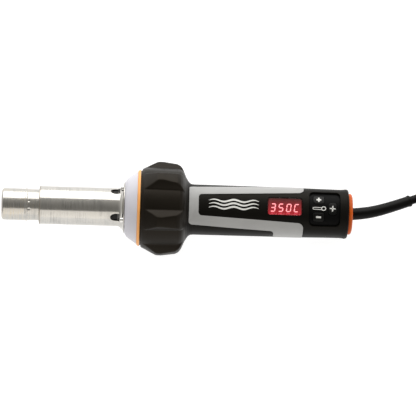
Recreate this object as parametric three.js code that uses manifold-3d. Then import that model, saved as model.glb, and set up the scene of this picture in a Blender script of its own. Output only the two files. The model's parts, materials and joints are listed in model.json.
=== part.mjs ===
// A hand-held hot air tool: steel heater tube, grey heat shield, lobed rubber stand collar, two-shell
// handle with a display and keypad, motor and fan inside, and a mains lead wound into a coil.
//
// Units are millimetres and +Z is up. The tool lies on a table as it is put down between jobs: on two
// lobes of its collar and the rim of its tail, display upwards. The origin is on the table, under the
// middle of the tool. Every piece of the tool is modelled in the tool's own frame: x runs along the axis
// from the nozzle end (0) to the tail, z out of the display, y to the tool's left. The group "tool" tips
// that frame to its rest angle.
import * as THREE from 'three';
import { mergeVertices } from 'three/addons/utils/BufferGeometryUtils.js';
import { TessellateModifier } from 'three/addons/modifiers/TessellateModifier.js';
import Module from 'manifold-3d';

const wasm = await Module();
wasm.setup();

// ---------------------------------------------------------------- driving dimensions

const GAP = 0.3; // left between pieces that touch
const ROUND = 28; // sides of a large turned piece
const SMALL_ROUND = 20; // sides of a small turned piece
const TINY_ROUND = 12; // sides of a pin or a wide hole
const SCREW_ROUND = 8; // sides of a screw or its hole

const NOZZLE_R = 15.75; // push-on nozzle seat, 31.5 mm across
const NOZZLE_ROLL = 2.4; // radius of the heater tube's rounded front edge
const TUBE_WALL = 0.9;
const LIP_R = 12; // the heater tube's mouth
const BEAD = { x: 25, half: 1, flat: 0.4, rise: 0.4 }; // rolled bead that stops a nozzle
const ELEMENT_TUBE = { end: 124, flange: 3.4, thick: 1.2 };

const GUARD_R = 18.9; // outer guard tube
const GUARD_START = 36.5;
const FLARE_START = 113;
const FLANGE_X = 120.3;
const FLANGE_R = 25.6;
const FLANGE_SCREW_R = 22.6;
const SCREW_HOLE_R = 1.7;
const FLANGE_SCREW = { head: 2.4, headHigh: 1.8, shank: 1.35, length: 6 };
const CLAMP_SCREW = { ...FLANGE_SCREW, length: 8 };
const SHELL_SCREW = { head: 2.6, headHigh: 2, shank: 1.35, length: 17 };
const SHELL_SCREW_SEAT = -8.6; // height of the step that a shell screw's head bears on
const FLANGE_SCREW_PHASE = 44; // degrees from the display side
const DENT_LENGTH = 11;
const DENT_HALF_ANGLE = 18;
const DENT_DEPTH = 2.6;

const CORE_BORE = 1.8;
const CORE = { start: 14, end: 100, radius: 12.6, channel: 2.1, channels: 6, circle: 7.6 };
const ELEMENT_BASE = { start: 104.6, end: 115, radius: 14.4, channel: 3, channels: 3, circle: 8.6 };
const MICA_SLEEVE = { start: 12.5, end: 104, inner: 13.2, outer: 14.3 };
const THERMOCOUPLE = { start: 6, end: 128, radius: 1 };

const SHIELD_START = 121.4;
const SHIELD_END = 133.7;
const SHIELD_R = 35.6;
const RING_END = 136.5;
const RING_R = 37.6;

const BELL_START = 138.3; // front of the two shells, where they widen round the motor
const BELL_R = 36.4;
const BELL_END = 184.6;
const WALL = 2.5;
const TAIL_BORE = 18;

const COLLAR_START = 139.4;
const COLLAR_END = 183.8;
const LOBES = 6;
const LOBE_R = 46.8; // highest ring of the lobes
const LOBE_X = 157;
const LOBE_TOP = 5; // half angle of a lobe's crown, in degrees
const LOBE_FOOT = 13; // half angle of a lobe's foot

const HANDLE_START = 190;
const TAIL_END = 342;
const TAIL_RIM_X = 341;
const TAIL_RIM_HALF = { a: 24.8, b: 24.4 };
const SECTION_POWER = 2.3; // superellipse power of the handle's section

const PANEL_START = 195.2; // grey frame round the display panel
const FRAME_START = 184.9;
const FRAME_END = 297;
const BAND_START = 269;
const FRAME_POCKET = 1.3;
const FRAME_PROUD = 0.4;

const WINDOW = { x: 278.8, y: 1, width: 33, height: 17.2, corner: 2.2, top: 21.9, thick: 1.6 };
const KEYPAD = { x: 318, width: 30, height: 34.4, corner: 4, sunk: 2, thick: 2.2 };
const BUTTON_PROUD = 0.9;
const BUTTON_GAP = 0.6;
const BUTTONS = [
  { name: 'plus', x: 312.1, y: 9.2, width: 10.6, height: 8.6, corner: 2.2 },
  { name: 'minus', x: 312.1, y: -9.2, width: 10.6, height: 8.6, corner: 2.2 },
  { name: 'fan', x: 325.7, y: 0, width: 7.4, height: 12.2, corner: 2.4 },
];

const SCREWS = [214, 299].flatMap((x) => [17.2, -17.2].map((y) => ({ x, y })));
const SWITCH = { x: 311.5, length: 19.4, width: 13.2, deep: 13, face: -24.1, pivot: -21.6, tilt: 7 };

const DISPLAY = { low: [263.3, -6.3, 14.9], high: [294.3, 8.3, 19.9] };
const DISPLAY_BOARD = { low: [259, -13.2, 11.9], high: [335, 13.2, 13.3] };
const TACT = { half: 3, high: 1.5, stem: 1.2, top: 2.1, lift: 0.3 };
const CONTROL_BOARD = { low: [207, -12.6, -6.8], high: [296, 12.6, -5.2] };
const HEAT_SINK = {
  start: 216.5, end: 242, half: 10.9, low: -4.9, base: 2.3, top: 8, fins: [-10, -5, 0, 5, 10], fin: 0.9,
};
const TERMINALS = {
  low: [279, -9.5, -4.9], high: [293, 9.5, 4.6], wells: [-6, 0, 6], well: 2, floor: -0.4,
};

const FAN = { start: 141.6, plate: 150.4, end: 152, hub: 5, radius: 29, blades: 9, blade: [9, 1.4, 21] };
const FAN_CASE = { start: 141.3, floor: 153.9, end: 155.4, inner: 31.9, outer: 33.4, eye: 13 };
const MOUNT = { start: 160, end: 166, inner: 19.5, outer: 33.6, holes: 6, hole: 4.4, circle: 26.6 };
const MOTOR = { start: 157, base: 161.4, end: 196, outer: 19.2, inner: 17.4, bore: 5.4 };
const END_CAP = { start: 196.3, step: 201, end: 203, radius: 18.6, boss: 8 };
const SHAFT = { start: 140, end: 201.6, radius: 2 };
const BEARING = { inner: 2.3, outer: 5.1, places: { front: [157.3, 161.2], rear: [196.8, 200.4] } };
const BRUSH = { start: 189.8, end: 194.8, near: 6.4, far: 14, half: 2.5 };

const CLAMP = { x: 322.5, long: 7, half: 12.5, low: 2, high: 8.6, screws: [10, -10] };

const CAP_START = 342.4;
const CAP_R = 20.3;
const CAP_END = 347.2;
const CAP_BORE = 7.4;
const CAP_PLUG = { start: 338.8, outer: 17.7, inner: 15.8 }; // the cap's spigot in the tail's bore
const CAP_SLOTS = { count: 12, x: 346, size: [8, 2, 5.4], circle: 12 };
const FILTER = { start: 341, end: 341.8, radius: 15.4 };
const RELIEF_R = 6.1;

const CORD_R = 4.25;
const COIL = { x: 320, y: -8, radius: 47.3, pitch: 8.6, columns: 3, layers: 3 };

const DEG = Math.PI / 180;
const ARC_SCALE = 0.42; // mm of handle surface for each degree
const CUTTER_NEAR = 11;
const CUTTER_FAR = 46;
const CUTTER_STEP = 14;

// ---------------------------------------------------------------- solids

// The same closed surface as a manifold-3d solid, its faces turned outwards.
function solid(geometry) {
  const bare = geometry.clone();
  for (const name of Object.keys(bare.attributes)) if (name !== 'position') bare.deleteAttribute(name);
  const merged = mergeVertices(bare, 1e-4);
  const index = merged.index.array;
  const faces = [];
  for (let i = 0; i < index.length; i += 3) {
    const [a, b, c] = [index[i], index[i + 1], index[i + 2]];
    if (a !== b && b !== c && c !== a) faces.push(a, b, c);
  }
  const vertProperties = new Float32Array(merged.attributes.position.array);
  const build = (list) => new wasm.Manifold(
    new wasm.Mesh({ numProp: 3, vertProperties, triVerts: new Uint32Array(list) }),
  );
  const made = build(faces);
  if (made.volume() > 0) return made;
  const turned = [];
  for (let i = 0; i < faces.length; i += 3) turned.push(faces[i], faces[i + 2], faces[i + 1]);
  return build(turned);
}

// A three.js geometry of a manifold-3d solid.
function geometryOf(body) {
  const mesh = body.getMesh();
  const points = new Float32Array(mesh.numVert * 3);
  for (let i = 0; i < mesh.numVert; i++) {
    points.set(mesh.vertProperties.subarray(i * mesh.numProp, i * mesh.numProp + 3), i * 3);
  }
  const geometry = new THREE.BufferGeometry();
  geometry.setAttribute('position', new THREE.BufferAttribute(points, 3));
  geometry.setIndex(new THREE.BufferAttribute(new Uint32Array(mesh.triVerts), 1));
  geometry.computeVertexNormals();
  return geometry;
}

const cut = (body, ...tools) => tools.reduce((left, tool) => left.subtract(tool), body);
const join = (body, ...more) => more.reduce((sum, piece) => sum.add(piece), body);

// Turned about x. The profile is a closed loop of [radius, x], or a line that starts and ends on the axis.
function turned(profile, sides = ROUND) {
  const onAxis = profile[0][0] === 0 && profile.at(-1)[0] === 0;
  const line = onAxis ? profile : [...profile, profile[0]];
  const geometry = new THREE.LatheGeometry(line.map(([r, x]) => new THREE.Vector2(r, x)), sides);
  return solid(geometry.rotateZ(-Math.PI / 2));
}

// A plain tube or disc about x.
const ring = (inner, outer, start, end, sides = ROUND) =>
  inner > 0
    ? turned([[inner, start], [outer, start], [outer, end], [inner, end]], sides)
    : turned([[0, start], [outer, start], [outer, end], [0, end]], sides);

// A cylinder along a direction from a point.
function rod(radius, from, to, sides = TINY_ROUND) {
  const start = new THREE.Vector3(...from);
  const run = new THREE.Vector3(...to).sub(start);
  const geometry = new THREE.CylinderGeometry(radius, radius, run.length(), sides);
  geometry.translate(0, run.length() / 2, 0);
  const up = new THREE.Vector3(0, 1, 0);
  geometry.applyQuaternion(new THREE.Quaternion().setFromUnitVectors(up, run.normalize()));
  return solid(geometry.translate(start.x, start.y, start.z));
}

// A box between two corners.
function box(low, high) {
  const size = high.map((value, i) => value - low[i]);
  const centre = high.map((value, i) => (value + low[i]) / 2);
  return solid(new THREE.BoxGeometry(...size).translate(...centre));
}

// A closed tube through rings of points: out along one surface and back along the other.
function ringLoop(rings) {
  const count = rings[0].length;
  const points = rings.flat().flatMap((p) => [p.x, p.y, p.z]);
  const index = [];
  rings.forEach((_, i) => {
    const next = (i + 1) % rings.length;
    for (let j = 0; j < count; j++) {
      const k = (j + 1) % count;
      const [a, b, c, d] = [i * count + j, i * count + k, next * count + k, next * count + j];
      index.push(a, b, c, a, c, d);
    }
  });
  const geometry = new THREE.BufferGeometry();
  geometry.setAttribute('position', new THREE.BufferAttribute(new Float32Array(points), 3));
  geometry.setIndex(index);
  return solid(geometry);
}

// A point at an angle from the display side and a distance from the axis.
const polar = (x, angle, r) => new THREE.Vector3(x, r * Math.sin(angle * DEG), r * Math.cos(angle * DEG));

// Value at x on a line through [x, value] pairs.
function along(table, x) {
  const i = Math.max(1, table.findIndex(([at]) => at >= x));
  const last = table.at(-1);
  if (x >= last[0]) return last[1];
  if (x <= table[0][0]) return table[0][1];
  const [[x0, v0], [x1, v1]] = [table[i - 1], table[i]];
  return v0 + ((v1 - v0) * (x - x0)) / (x1 - x0);
}

const evenAngles = (count) => Array.from({ length: count }, (_, i) => (360 * i) / count);

// ---------------------------------------------------------------- the handle's surface

const HALF_WIDTH = [
  [BELL_START, BELL_R], [176, BELL_R], [181, 32.4], [BELL_END, 26.9], [186.8, 25.2], [HANDLE_START, 24.5],
  [334, 24.0], [TAIL_RIM_X, TAIL_RIM_HALF.a], [TAIL_END, 24.2],
];
const HALF_HEIGHT = [
  [BELL_START, BELL_R], [176, BELL_R], [181, 32.4], [BELL_END, 26.9], [186.8, 24.8], [HANDLE_START, 24.0],
  [334, 23.6], [TAIL_RIM_X, TAIL_RIM_HALF.b], [TAIL_END, 23.8],
];

// Distance of the handle's surface from the axis.
function handleRadius(x, angle) {
  const [a, b] = [along(HALF_WIDTH, x), along(HALF_HEIGHT, x)];
  const power = along([[BELL_END, 2], [HANDLE_START, SECTION_POWER]], x);
  const [s, c] = [Math.abs(Math.sin(angle * DEG)), Math.abs(Math.cos(angle * DEG))];
  return ((s / a) ** power + (c / b) ** power) ** (-1 / power);
}

// Angle at which the handle's surface has a given y.
function angleAt(x, y) {
  let [low, high] = [0, 90];
  for (let i = 0; i < 40; i++) {
    const middle = (low + high) / 2;
    if (handleRadius(x, middle) * Math.sin(middle * DEG) < Math.abs(y)) low = middle;
    else high = middle;
  }
  return Math.sign(y) * low;
}

// Everything between two distances from the axis over an outline of x and angle.
function sector(outline, holes = [], near = CUTTER_NEAR, far = CUTTER_FAR) {
  const flatPoint = ([x, angle]) => new THREE.Vector2(x, angle * ARC_SCALE);
  const shape = new THREE.Shape(outline.map(flatPoint));
  shape.holes = holes.map((hole) => new THREE.Path(hole.map(flatPoint)));
  const flat = new THREE.ExtrudeGeometry(shape, { depth: 1, bevelEnabled: false });
  const fine = new TessellateModifier(CUTTER_STEP, 6).modify(flat);
  const place = fine.attributes.position;
  for (let i = 0; i < place.count; i++) {
    const at = polar(place.getX(i), place.getY(i) / ARC_SCALE, near + (far - near) * place.getZ(i));
    place.setXYZ(i, at.x, at.y, at.z);
  }
  return solid(fine);
}

// The layer between two offsets from the handle's surface.
function skin(inner, outer, start, end) {
  const stations = [start, ...HALF_WIDTH.map(([x]) => x).filter((x) => x > start && x < end), end];
  const ringsAt = (offset, list) => list.map((x) =>
    evenAngles(ROUND).map((angle) => polar(x, angle, handleRadius(x, angle) + offset)),
  );
  return ringLoop([...ringsAt(outer, stations), ...ringsAt(inner, [...stations].reverse())]);
}

// A rounded rectangle of x and y as points, drawn from above.
function roundedPoints({ x, y = 0, width, height, corner }, grow = 0, arc = 3) {
  const [w, h, r] = [width / 2 + grow, height / 2 + grow, corner + grow];
  const corners = [[1, 1, 0], [-1, 1, 90], [-1, -1, 180], [1, -1, 270]];
  return corners.flatMap(([sx, sy, from]) =>
    Array.from({ length: arc + 1 }, (_, i) => {
      const turn = (from + (90 * i) / arc) * DEG;
      return [x + sx * (w - r) + r * Math.cos(turn), y + sy * (h - r) + r * Math.sin(turn)];
    }),
  );
}

// The same outline as x and angle on the handle.
const onHandle = (points) => points.map(([x, y]) => [x, angleAt(x, y)]);

// An upright prism on an outline of x and y.
function prism(points, low, high) {
  const shape = new THREE.Shape(points.map(([x, y]) => new THREE.Vector2(x, y)));
  const geometry = new THREE.ExtrudeGeometry(shape, { depth: high - low, bevelEnabled: false });
  return solid(geometry.translate(0, 0, low));
}

// ---------------------------------------------------------------- materials

function finish(color, roughness, metalness = 0) {
  return new THREE.MeshStandardMaterial({ color, roughness, metalness });
}

const STEEL = finish('#b9b6ae', 0.28, 1);
const DARK_STEEL = finish('#77757a', 0.4, 1);
const BLACK_PLASTIC = finish('#1b1a17', 0.5);
const BLACK_RUBBER = finish('#26231f', 0.7);
const GREY_GRIP = finish('#a3a4a1', 0.45);
const SHIELD_GREY = finish('#d0d0d8', 0.4);
const ORANGE = finish('#e0561a', 0.4);
const LIGHT_ORANGE = finish('#eba24e', 0.5);
const RED_WINDOW = finish('#b01030', 0.1);
const CERAMIC = finish('#e6dfd0', 0.8);
const MICA = finish('#b59a63', 0.5);
const BOARD_GREEN = finish('#1f5a36', 0.5);
const COPPER = finish('#b4703c', 0.35, 1);
const NATURAL_PLASTIC = finish('#d8d4c8', 0.5);
const ALUMINIUM = finish('#c3c6ca', 0.35, 1);
const CARBON = finish('#2a2a2c', 0.6);

const tool = new THREE.Group();
const lead = new THREE.Group();

function add(group, name, body, material, position = [0, 0, 0]) {
  const mesh = new THREE.Mesh(geometryOf(body), material);
  mesh.name = name;
  mesh.position.set(...position);
  group.add(mesh);
  return mesh;
}

// ---------------------------------------------------------------- heater tube and guard

function elementTube() {
  const inner = NOZZLE_R - TUBE_WALL;
  const roll = NOZZLE_ROLL;
  const outerArc = [0, 30, 60, 90].map((t) => [
    NOZZLE_R - roll + roll * Math.sin(t * DEG),
    roll - roll * Math.cos(t * DEG),
  ]);
  const beadR = NOZZLE_R + BEAD.rise;
  const { end, flange, thick } = ELEMENT_TUBE;
  return turned([
    [LIP_R, 0], ...outerArc,
    [NOZZLE_R, BEAD.x - BEAD.half], [beadR, BEAD.x - BEAD.flat], [beadR, BEAD.x + BEAD.flat],
    [NOZZLE_R, BEAD.x + BEAD.half], [NOZZLE_R, end - thick], [NOZZLE_R + flange, end - thick],
    [NOZZLE_R + flange, end], [inner, end], [inner, roll + 0.6], [LIP_R, TUBE_WALL],
  ]);
}

// How far the guard tube is pressed in beside a flange screw.
function dent(x, angle) {
  const along01 = (FLANGE_X - x) / DENT_LENGTH;
  if (along01 < 0 || along01 > 1) return 0;
  const off = ((((angle - FLANGE_SCREW_PHASE) % 90) + 135) % 90) - 45;
  const half = DENT_HALF_ANGLE * Math.sqrt(1 - along01 ** 2);
  if (Math.abs(off) >= half) return 0;
  return DENT_DEPTH * (1 - (off / half) ** 2) * (1 - along01) ** 0.6;
}

function guardTube() {
  const flare = FLANGE_X - FLARE_START;
  const dentStart = FLANGE_X - DENT_LENGTH;
  const inside = GUARD_R - TUBE_WALL;
  const arc = (radius) => [30, 60].map((t) => [
    GUARD_R + flare - radius * Math.cos(t * DEG),
    FLARE_START + radius * Math.sin(t * DEG),
  ]);
  const outer = [
    [GUARD_R, GUARD_START], [GUARD_R, dentStart], [GUARD_R, FLARE_START], ...arc(flare),
    [FLANGE_R, FLANGE_X],
  ];
  const inner = [
    [FLANGE_R, FLANGE_X + TUBE_WALL], ...arc(flare + TUBE_WALL).reverse(),
    [inside, FLARE_START], [inside, dentStart], [inside, GUARD_START],
  ];
  const pressed = (x, r, angle) => (r < FLANGE_R - 1 ? dent(Math.min(x, FLANGE_X - 3), angle) : 0);
  const rings = [...outer, ...inner].map(([r, x]) =>
    evenAngles(ROUND).map((angle) => polar(x, angle, r - pressed(x, r, angle))),
  );
  const seats = flangeHoles(FLANGE_X - 8, FLANGE_X - 0.2, FLANGE_SCREW.head + GAP);
  return cut(ringLoop(rings), ...seats, ...flangeHoles(FLANGE_X - 6, FLANGE_X + 2));
}

const flangeAngles = evenAngles(4).map((angle) => angle + FLANGE_SCREW_PHASE);
const flangeHoles = (from, to, radius = SCREW_HOLE_R) => flangeAngles.map((angle) => {
  const at = polar(0, angle, FLANGE_SCREW_R);
  return rod(radius, [from, at.y, at.z], [to, at.y, at.z], TINY_ROUND);
});

// A pan-head screw along +x with its head's underside at the origin.
function panScrew({ head, headHigh, shank, length }) {
  return turned([
    [0, -headHigh], [head * 0.8, -headHigh], [head, -headHigh * 0.6], [head, 0], [shank, 0],
    [shank, length], [0, length],
  ], SCREW_ROUND);
}

// A ceramic disc with a hole in the middle and a ring of channels round it.
function bored({ start, end, radius, channel, circle, channels: count }, sides) {
  const [from, to] = [start - 4, end + 4];
  const channels = evenAngles(count).map((angle) => {
    const at = polar(0, angle, circle);
    return rod(channel, [from, at.y, at.z], [to, at.y, at.z], sides);
  });
  const middle = rod(CORE_BORE, [from, 0, 0], [to, 0, 0], SCREW_ROUND);
  return cut(ring(0, radius, start, end, SMALL_ROUND), middle, ...channels);
}

// Honeycomb ceramic that carries the heating wire, and the base that it stands on.
const ceramicCore = () => bored(CORE, SCREW_ROUND);
const elementBase = () => bored(ELEMENT_BASE, TINY_ROUND);

// ---------------------------------------------------------------- heat shield, ring and air duct

function heatShield() {
  const body = turned([
    [20.2, SHIELD_START], [25.4, SHIELD_START], [27.6, SHIELD_START + 0.9], [29.6, 125],
    [SHIELD_R, SHIELD_END], [33.4, SHIELD_END], [27.6, 126.6], [26, 124.2], [20.2, 124.2],
  ]);
  return cut(body, ...flangeHoles(FLANGE_X, 126));
}

const frontRing = () => turned([
  [SHIELD_R - 0.1, SHIELD_END + GAP], [RING_R, RING_END - 0.6], [RING_R - 0.3, RING_END], [34.2, RING_END],
  [34.2, SHIELD_END + GAP],
]);

const airDuct = () => turned([
  [15, 124.4], [19.4, 124.4], [19.4, 126], [27, 132], [33.2, 137.6], [33.2, 140.8],
  [31.8, 140.8], [31.8, 138.2], [25.9, 133], [17, 126.4], [15, 126.4],
]);

// ---------------------------------------------------------------- stand collar

const VALLEY = [
  [COLLAR_START, 38.8], [142, 40], [152, 41.2], [LOBE_X, 41.4], [174.5, 40.3], [178, 39.3], [180.4, 37.2],
  [182.6, 32], [COLLAR_END, 29.2],
];
const CROWN = [
  [COLLAR_START, 39], [142, 40.6], [152, 45.2], [LOBE_X, LOBE_R], [174.5, 44], [178, 41.6], [180.4, 37.8],
  [182.6, 32], [COLLAR_END, 29.2],
];

function collar() {
  const period = 360 / LOBES;
  const steps = [-LOBE_FOOT, -LOBE_TOP, LOBE_TOP, LOBE_FOOT, 24.3, 35.7];
  const angles = evenAngles(LOBES).flatMap((centre) => steps.map((step) => centre + period / 2 + step));
  const lift = (angle) => {
    const off = Math.abs((((angle % period) + period) % period) - period / 2);
    return THREE.MathUtils.clamp((LOBE_FOOT - off) / (LOBE_FOOT - LOBE_TOP), 0, 1);
  };
  const outer = VALLEY.map(([x, low], i) =>
    angles.map((angle) => polar(x, angle, low + (CROWN[i][1] - low) * lift(angle))),
  );
  const clear = 2 * GAP;
  const inner = [COLLAR_END, 181, 176, COLLAR_START].map((x) =>
    angles.map((angle) => polar(x, angle, along(HALF_WIDTH, x) + clear)),
  );
  return ringLoop([...outer, ...inner]);
}

// ---------------------------------------------------------------- handle shells

// Outline of the grey frame's arms and left band on one half of the display side, as x and angle.
const frameOuterAngle = (x) => along([[FRAME_START, 47], [BAND_START, 64]], x);
const panelHalf = (x) => along([[PANEL_START, 10.8], [FRAME_END, 15.6]], x);

function frameOutline(grow) {
  const side = (sign) => {
    const outerX = [FRAME_START + 3, 212, 240, BAND_START - 4];
    const outerRun = outerX.map((x) => [x, frameOuterAngle(x) + grow * 2.4]);
    return [
      [FRAME_START - grow, frameOuterAngle(FRAME_START) - 7],
      [FRAME_START + 0.8 - grow, frameOuterAngle(FRAME_START) - 2.4 + grow],
      ...outerRun,
      [BAND_START - 1.2 - grow, frameOuterAngle(BAND_START) + 2.6],
      [BAND_START - grow, frameOuterAngle(BAND_START) + 9],
      [BAND_START - grow, 89.6 + grow],
      [FRAME_END + grow, 89.6 + grow],
      [FRAME_END + grow, angleAt(FRAME_END, panelHalf(FRAME_END) + 5)],
      [FRAME_END - 1.4 + grow, angleAt(FRAME_END, panelHalf(FRAME_END) + 1.4 - grow)],
      [FRAME_END - 5, angleAt(FRAME_END - 5, panelHalf(FRAME_END - 5) - grow)],
      ...[270, 240, 212].map((x) => [x, angleAt(x, panelHalf(x) - grow)]),
      [PANEL_START + 3.4, angleAt(PANEL_START + 3.4, panelHalf(PANEL_START) - grow)],
      [PANEL_START + 1 + grow, angleAt(PANEL_START, panelHalf(PANEL_START) - 1 - grow)],
      [PANEL_START + grow, angleAt(PANEL_START, panelHalf(PANEL_START) - 3.6)],
    ].map(([x, angle]) => [x, angle * sign]);
  };
  return [...side(1), ...side(-1).reverse()];
}

// The grey band across the underside, between the two arms.
const bandOutline = (grow) => [
  [BAND_START - grow, 90.4 - grow], [FRAME_END + grow, 90.4 - grow],
  [FRAME_END + grow, 269.6 + grow], [BAND_START - grow, 269.6 + grow],
];

function handleTube() {
  const angles = evenAngles(ROUND);
  const outerX = [...new Set(HALF_WIDTH.map(([x]) => x))];
  const outer = outerX.map((x) => angles.map((angle) => polar(x, angle, handleRadius(x, angle))));
  const bore = [
    [TAIL_END, TAIL_BORE], [337, TAIL_BORE], [335.4, null], [HANDLE_START, null], [186, 22.6], [180, 29.6],
    [175, BELL_R - WALL], [BELL_START, BELL_R - WALL],
  ];
  const inside = (x, r, angle) => polar(x, angle, r ?? handleRadius(x, angle) - WALL);
  const inner = bore.map(([x, r]) => angles.map((angle) => inside(x, r, angle)));
  return ringLoop([...outer, ...inner]);
}

const framePocket = skin(-FRAME_POCKET, 4, FRAME_START - 4, FRAME_END + 4);
const keypadOutline = (grow) => onHandle(roundedPoints(KEYPAD, grow));
const buttonOutline = (button, grow) => onHandle(roundedPoints(button, grow));

function upperShell(tube) {
  const below = box([100, -60, -60], [400, 60, GAP / 2]);
  const bosses = SCREWS.map(({ x, y }) => rod(3.4, [x, y, GAP / 2], [x, y, 12.6]));
  const pilots = SCREWS.map(({ x, y }) => rod(SCREW_HOLE_R, [x, y, -1], [x, y, 10], SCREW_ROUND));
  return cut(
    join(cut(tube, below), ...bosses),
    ...pilots,
    framePocket.intersect(sector(frameOutline(GAP))),
    prism(roundedPoints(WINDOW, GAP), 10, 30),
    sector(keypadOutline(0)),
  );
}

function lowerShell(tube) {
  const above = box([100, -60, -GAP / 2], [400, 60, 60]);
  const bosses = SCREWS.map(({ x, y }) => rod(3.6, [x, y, -13.4], [x, y, -GAP / 2]));
  const holes = SCREWS.flatMap(({ x, y }) => [
    rod(SCREW_HOLE_R, [x, y, -20], [x, y, 1], SCREW_ROUND),
    rod(SHELL_SCREW.head + 0.4, [x, y, -26], [x, y, SHELL_SCREW_SEAT]),
  ]);
  const posts = CLAMP.screws.map((y) => rod(3, [CLAMP.x, y, -20.8], [CLAMP.x, y, CLAMP.low - GAP]));
  const postHoles = CLAMP.screws.map((y) =>
    rod(SCREW_HOLE_R, [CLAMP.x, y, -6], [CLAMP.x, y, CLAMP.low + 1], SCREW_ROUND),
  );
  const rocker = { x: SWITCH.x, width: SWITCH.length, height: SWITCH.width, corner: 0.1 };
  return cut(
    join(cut(tube, above), ...bosses, ...posts),
    ...postHoles,
    ...holes,
    framePocket.intersect(sector(bandOutline(GAP))),
    prism(roundedPoints(rocker, GAP, 1), -30, -15),
  );
}

// ---------------------------------------------------------------- display and keypad

const displayWindow = () =>
  prism(roundedPoints(WINDOW), WINDOW.top - WINDOW.thick, WINDOW.top);

const KEYPAD_SPAN = [KEYPAD.x - KEYPAD.width / 2 - 2, KEYPAD.x + KEYPAD.width / 2 + 2];

const keypadMat = () => skin(-KEYPAD.sunk - KEYPAD.thick, -KEYPAD.sunk, ...KEYPAD_SPAN)
  .intersect(sector(keypadOutline(-GAP), BUTTONS.map((button) => buttonOutline(button, BUTTON_GAP))));

const keypadButton = (button) =>
  skin(-KEYPAD.sunk - KEYPAD.thick - 0.4, -KEYPAD.sunk + BUTTON_PROUD, ...KEYPAD_SPAN)
    .intersect(sector(buttonOutline(button, 0)));

function tactSwitch() {
  const { half, high, stem, top } = TACT;
  const plunger = rod(stem, [0, 0, high / 2], [0, 0, top], SCREW_ROUND);
  return join(box([-half, -half, 0], [half, half, high]), plunger);
}

// ---------------------------------------------------------------- electronics

function heatSink() {
  const { start, end, half, low, base, top, fins, fin } = HEAT_SINK;
  const ribs = fins.map((y) => box([start, y - fin, low + base / 2], [end, y + fin, top]));
  return join(box([start, -half, low], [end, half, low + base]), ...ribs);
}

function terminalBlock() {
  const { low, high, wells, well, floor } = TERMINALS;
  const cuts = wells.map((y) => box([low[0] + 2, y - well, floor], [low[0] + 8, y + well, high[2] + 1]));
  return cut(box(low, high), ...cuts);
}

function switchBody() {
  const { x, length, width, deep, face } = SWITCH;
  const [l, w] = [length / 2, width / 2];
  const shell = box([x - l, -w, face], [x + l, w, face + deep]);
  const well = box([x - l + 1.6, -w + 1.6, face - 1], [x + l - 1.6, w - 1.6, face + 7]);
  return cut(shell, well);
}

function rocker() {
  const { length, width, face, pivot } = SWITCH;
  const [l, w] = [length / 2 - 2.6, width / 2 - 2];
  const drop = face - pivot;
  const shape = new THREE.Shape([
    [-l, drop - 0.3], [-l * 0.5, drop + 0.5], [0, drop + 0.8], [l * 0.5, drop + 0.5], [l, drop - 0.3],
    [l - 0.6, 1.6], [0, 3.2], [-l + 0.6, 1.6],
  ].map(([x, z]) => new THREE.Vector2(x, z)));
  const geometry = new THREE.ExtrudeGeometry(shape, { depth: 2 * w, bevelEnabled: false });
  return solid(geometry.translate(0, 0, -w).rotateX(Math.PI / 2));
}

// ---------------------------------------------------------------- motor and fan

function fanImpeller() {
  const hub = ring(BEARING.inner, FAN.hub, FAN.start, FAN.end, TINY_ROUND);
  const plate = ring(FAN.hub - 1, FAN.radius, FAN.plate, FAN.end);
  const [long, , high] = FAN.blade;
  const blades = evenAngles(FAN.blades).map((angle) => {
    const blade = new THREE.BoxGeometry(...FAN.blade);
    blade.translate(FAN.start + 0.1 + long / 2, 0, FAN.radius - 0.9 - high / 2);
    return solid(blade.rotateX(-angle * DEG));
  });
  return join(hub, plate, ...blades);
}

function fanHousing() {
  const { start, floor, end, inner, outer, eye } = FAN_CASE;
  return turned([[inner, start], [outer, start], [outer, end], [eye, end], [eye, floor], [inner, floor]]);
}

function motorMount() {
  const holes = evenAngles(MOUNT.holes).map((angle) => {
    const at = polar(0, angle, MOUNT.circle);
    return rod(MOUNT.hole, [MOUNT.start - 2, at.y, at.z], [MOUNT.end + 4, at.y, at.z], 10);
  });
  return cut(ring(MOUNT.inner, MOUNT.outer, MOUNT.start, MOUNT.end), ...holes);
}

function motorCan() {
  const { start, base, end, outer, inner, bore } = MOTOR;
  return turned([[bore, start], [outer, start], [outer, end], [inner, end], [inner, base], [bore, base]]);
}

function motorEndCap() {
  const { start, step, end, radius, boss } = END_CAP;
  return turned([
    [MOTOR.bore, start], [radius, start], [radius, step], [boss, step], [boss, end], [MOTOR.bore, end],
  ]);
}

// Wound stack, its end turns and the commutator.
const armature = () => turned([
  [BEARING.inner, 164], [13.6, 164], [13.6, 187], [8.5, 189], [6, 189.4], [6, 195.4],
  [BEARING.inner, 195.4],
], SMALL_ROUND);

function carbonBrush(side) {
  const [near, far] = [side * BRUSH.near, side * BRUSH.far].sort((a, b) => a - b);
  return box([BRUSH.start, near, -BRUSH.half], [BRUSH.end, far, BRUSH.half]);
}

// ---------------------------------------------------------------- tail

// A shallow dome with a ring of air slots, and a spigot in the tail's bore.
function rearCap() {
  const { start, outer, inner } = CAP_PLUG;
  const body = turned([
    [outer, start], [outer, CAP_START], [CAP_R, CAP_START], [CAP_R, 343.2], [18.4, 344.8], [13.2, 346.5],
    [CAP_BORE, CAP_END], [CAP_BORE, 345], [inner - 0.2, 343.8], [inner, start],
  ]);
  const slots = evenAngles(CAP_SLOTS.count).map((angle) => {
    const slot = new THREE.BoxGeometry(...CAP_SLOTS.size).translate(CAP_SLOTS.x, 0, CAP_SLOTS.circle);
    return solid(slot.rotateX(-(angle + 180 / CAP_SLOTS.count) * DEG));
  });
  return cut(body, ...slots);
}

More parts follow.
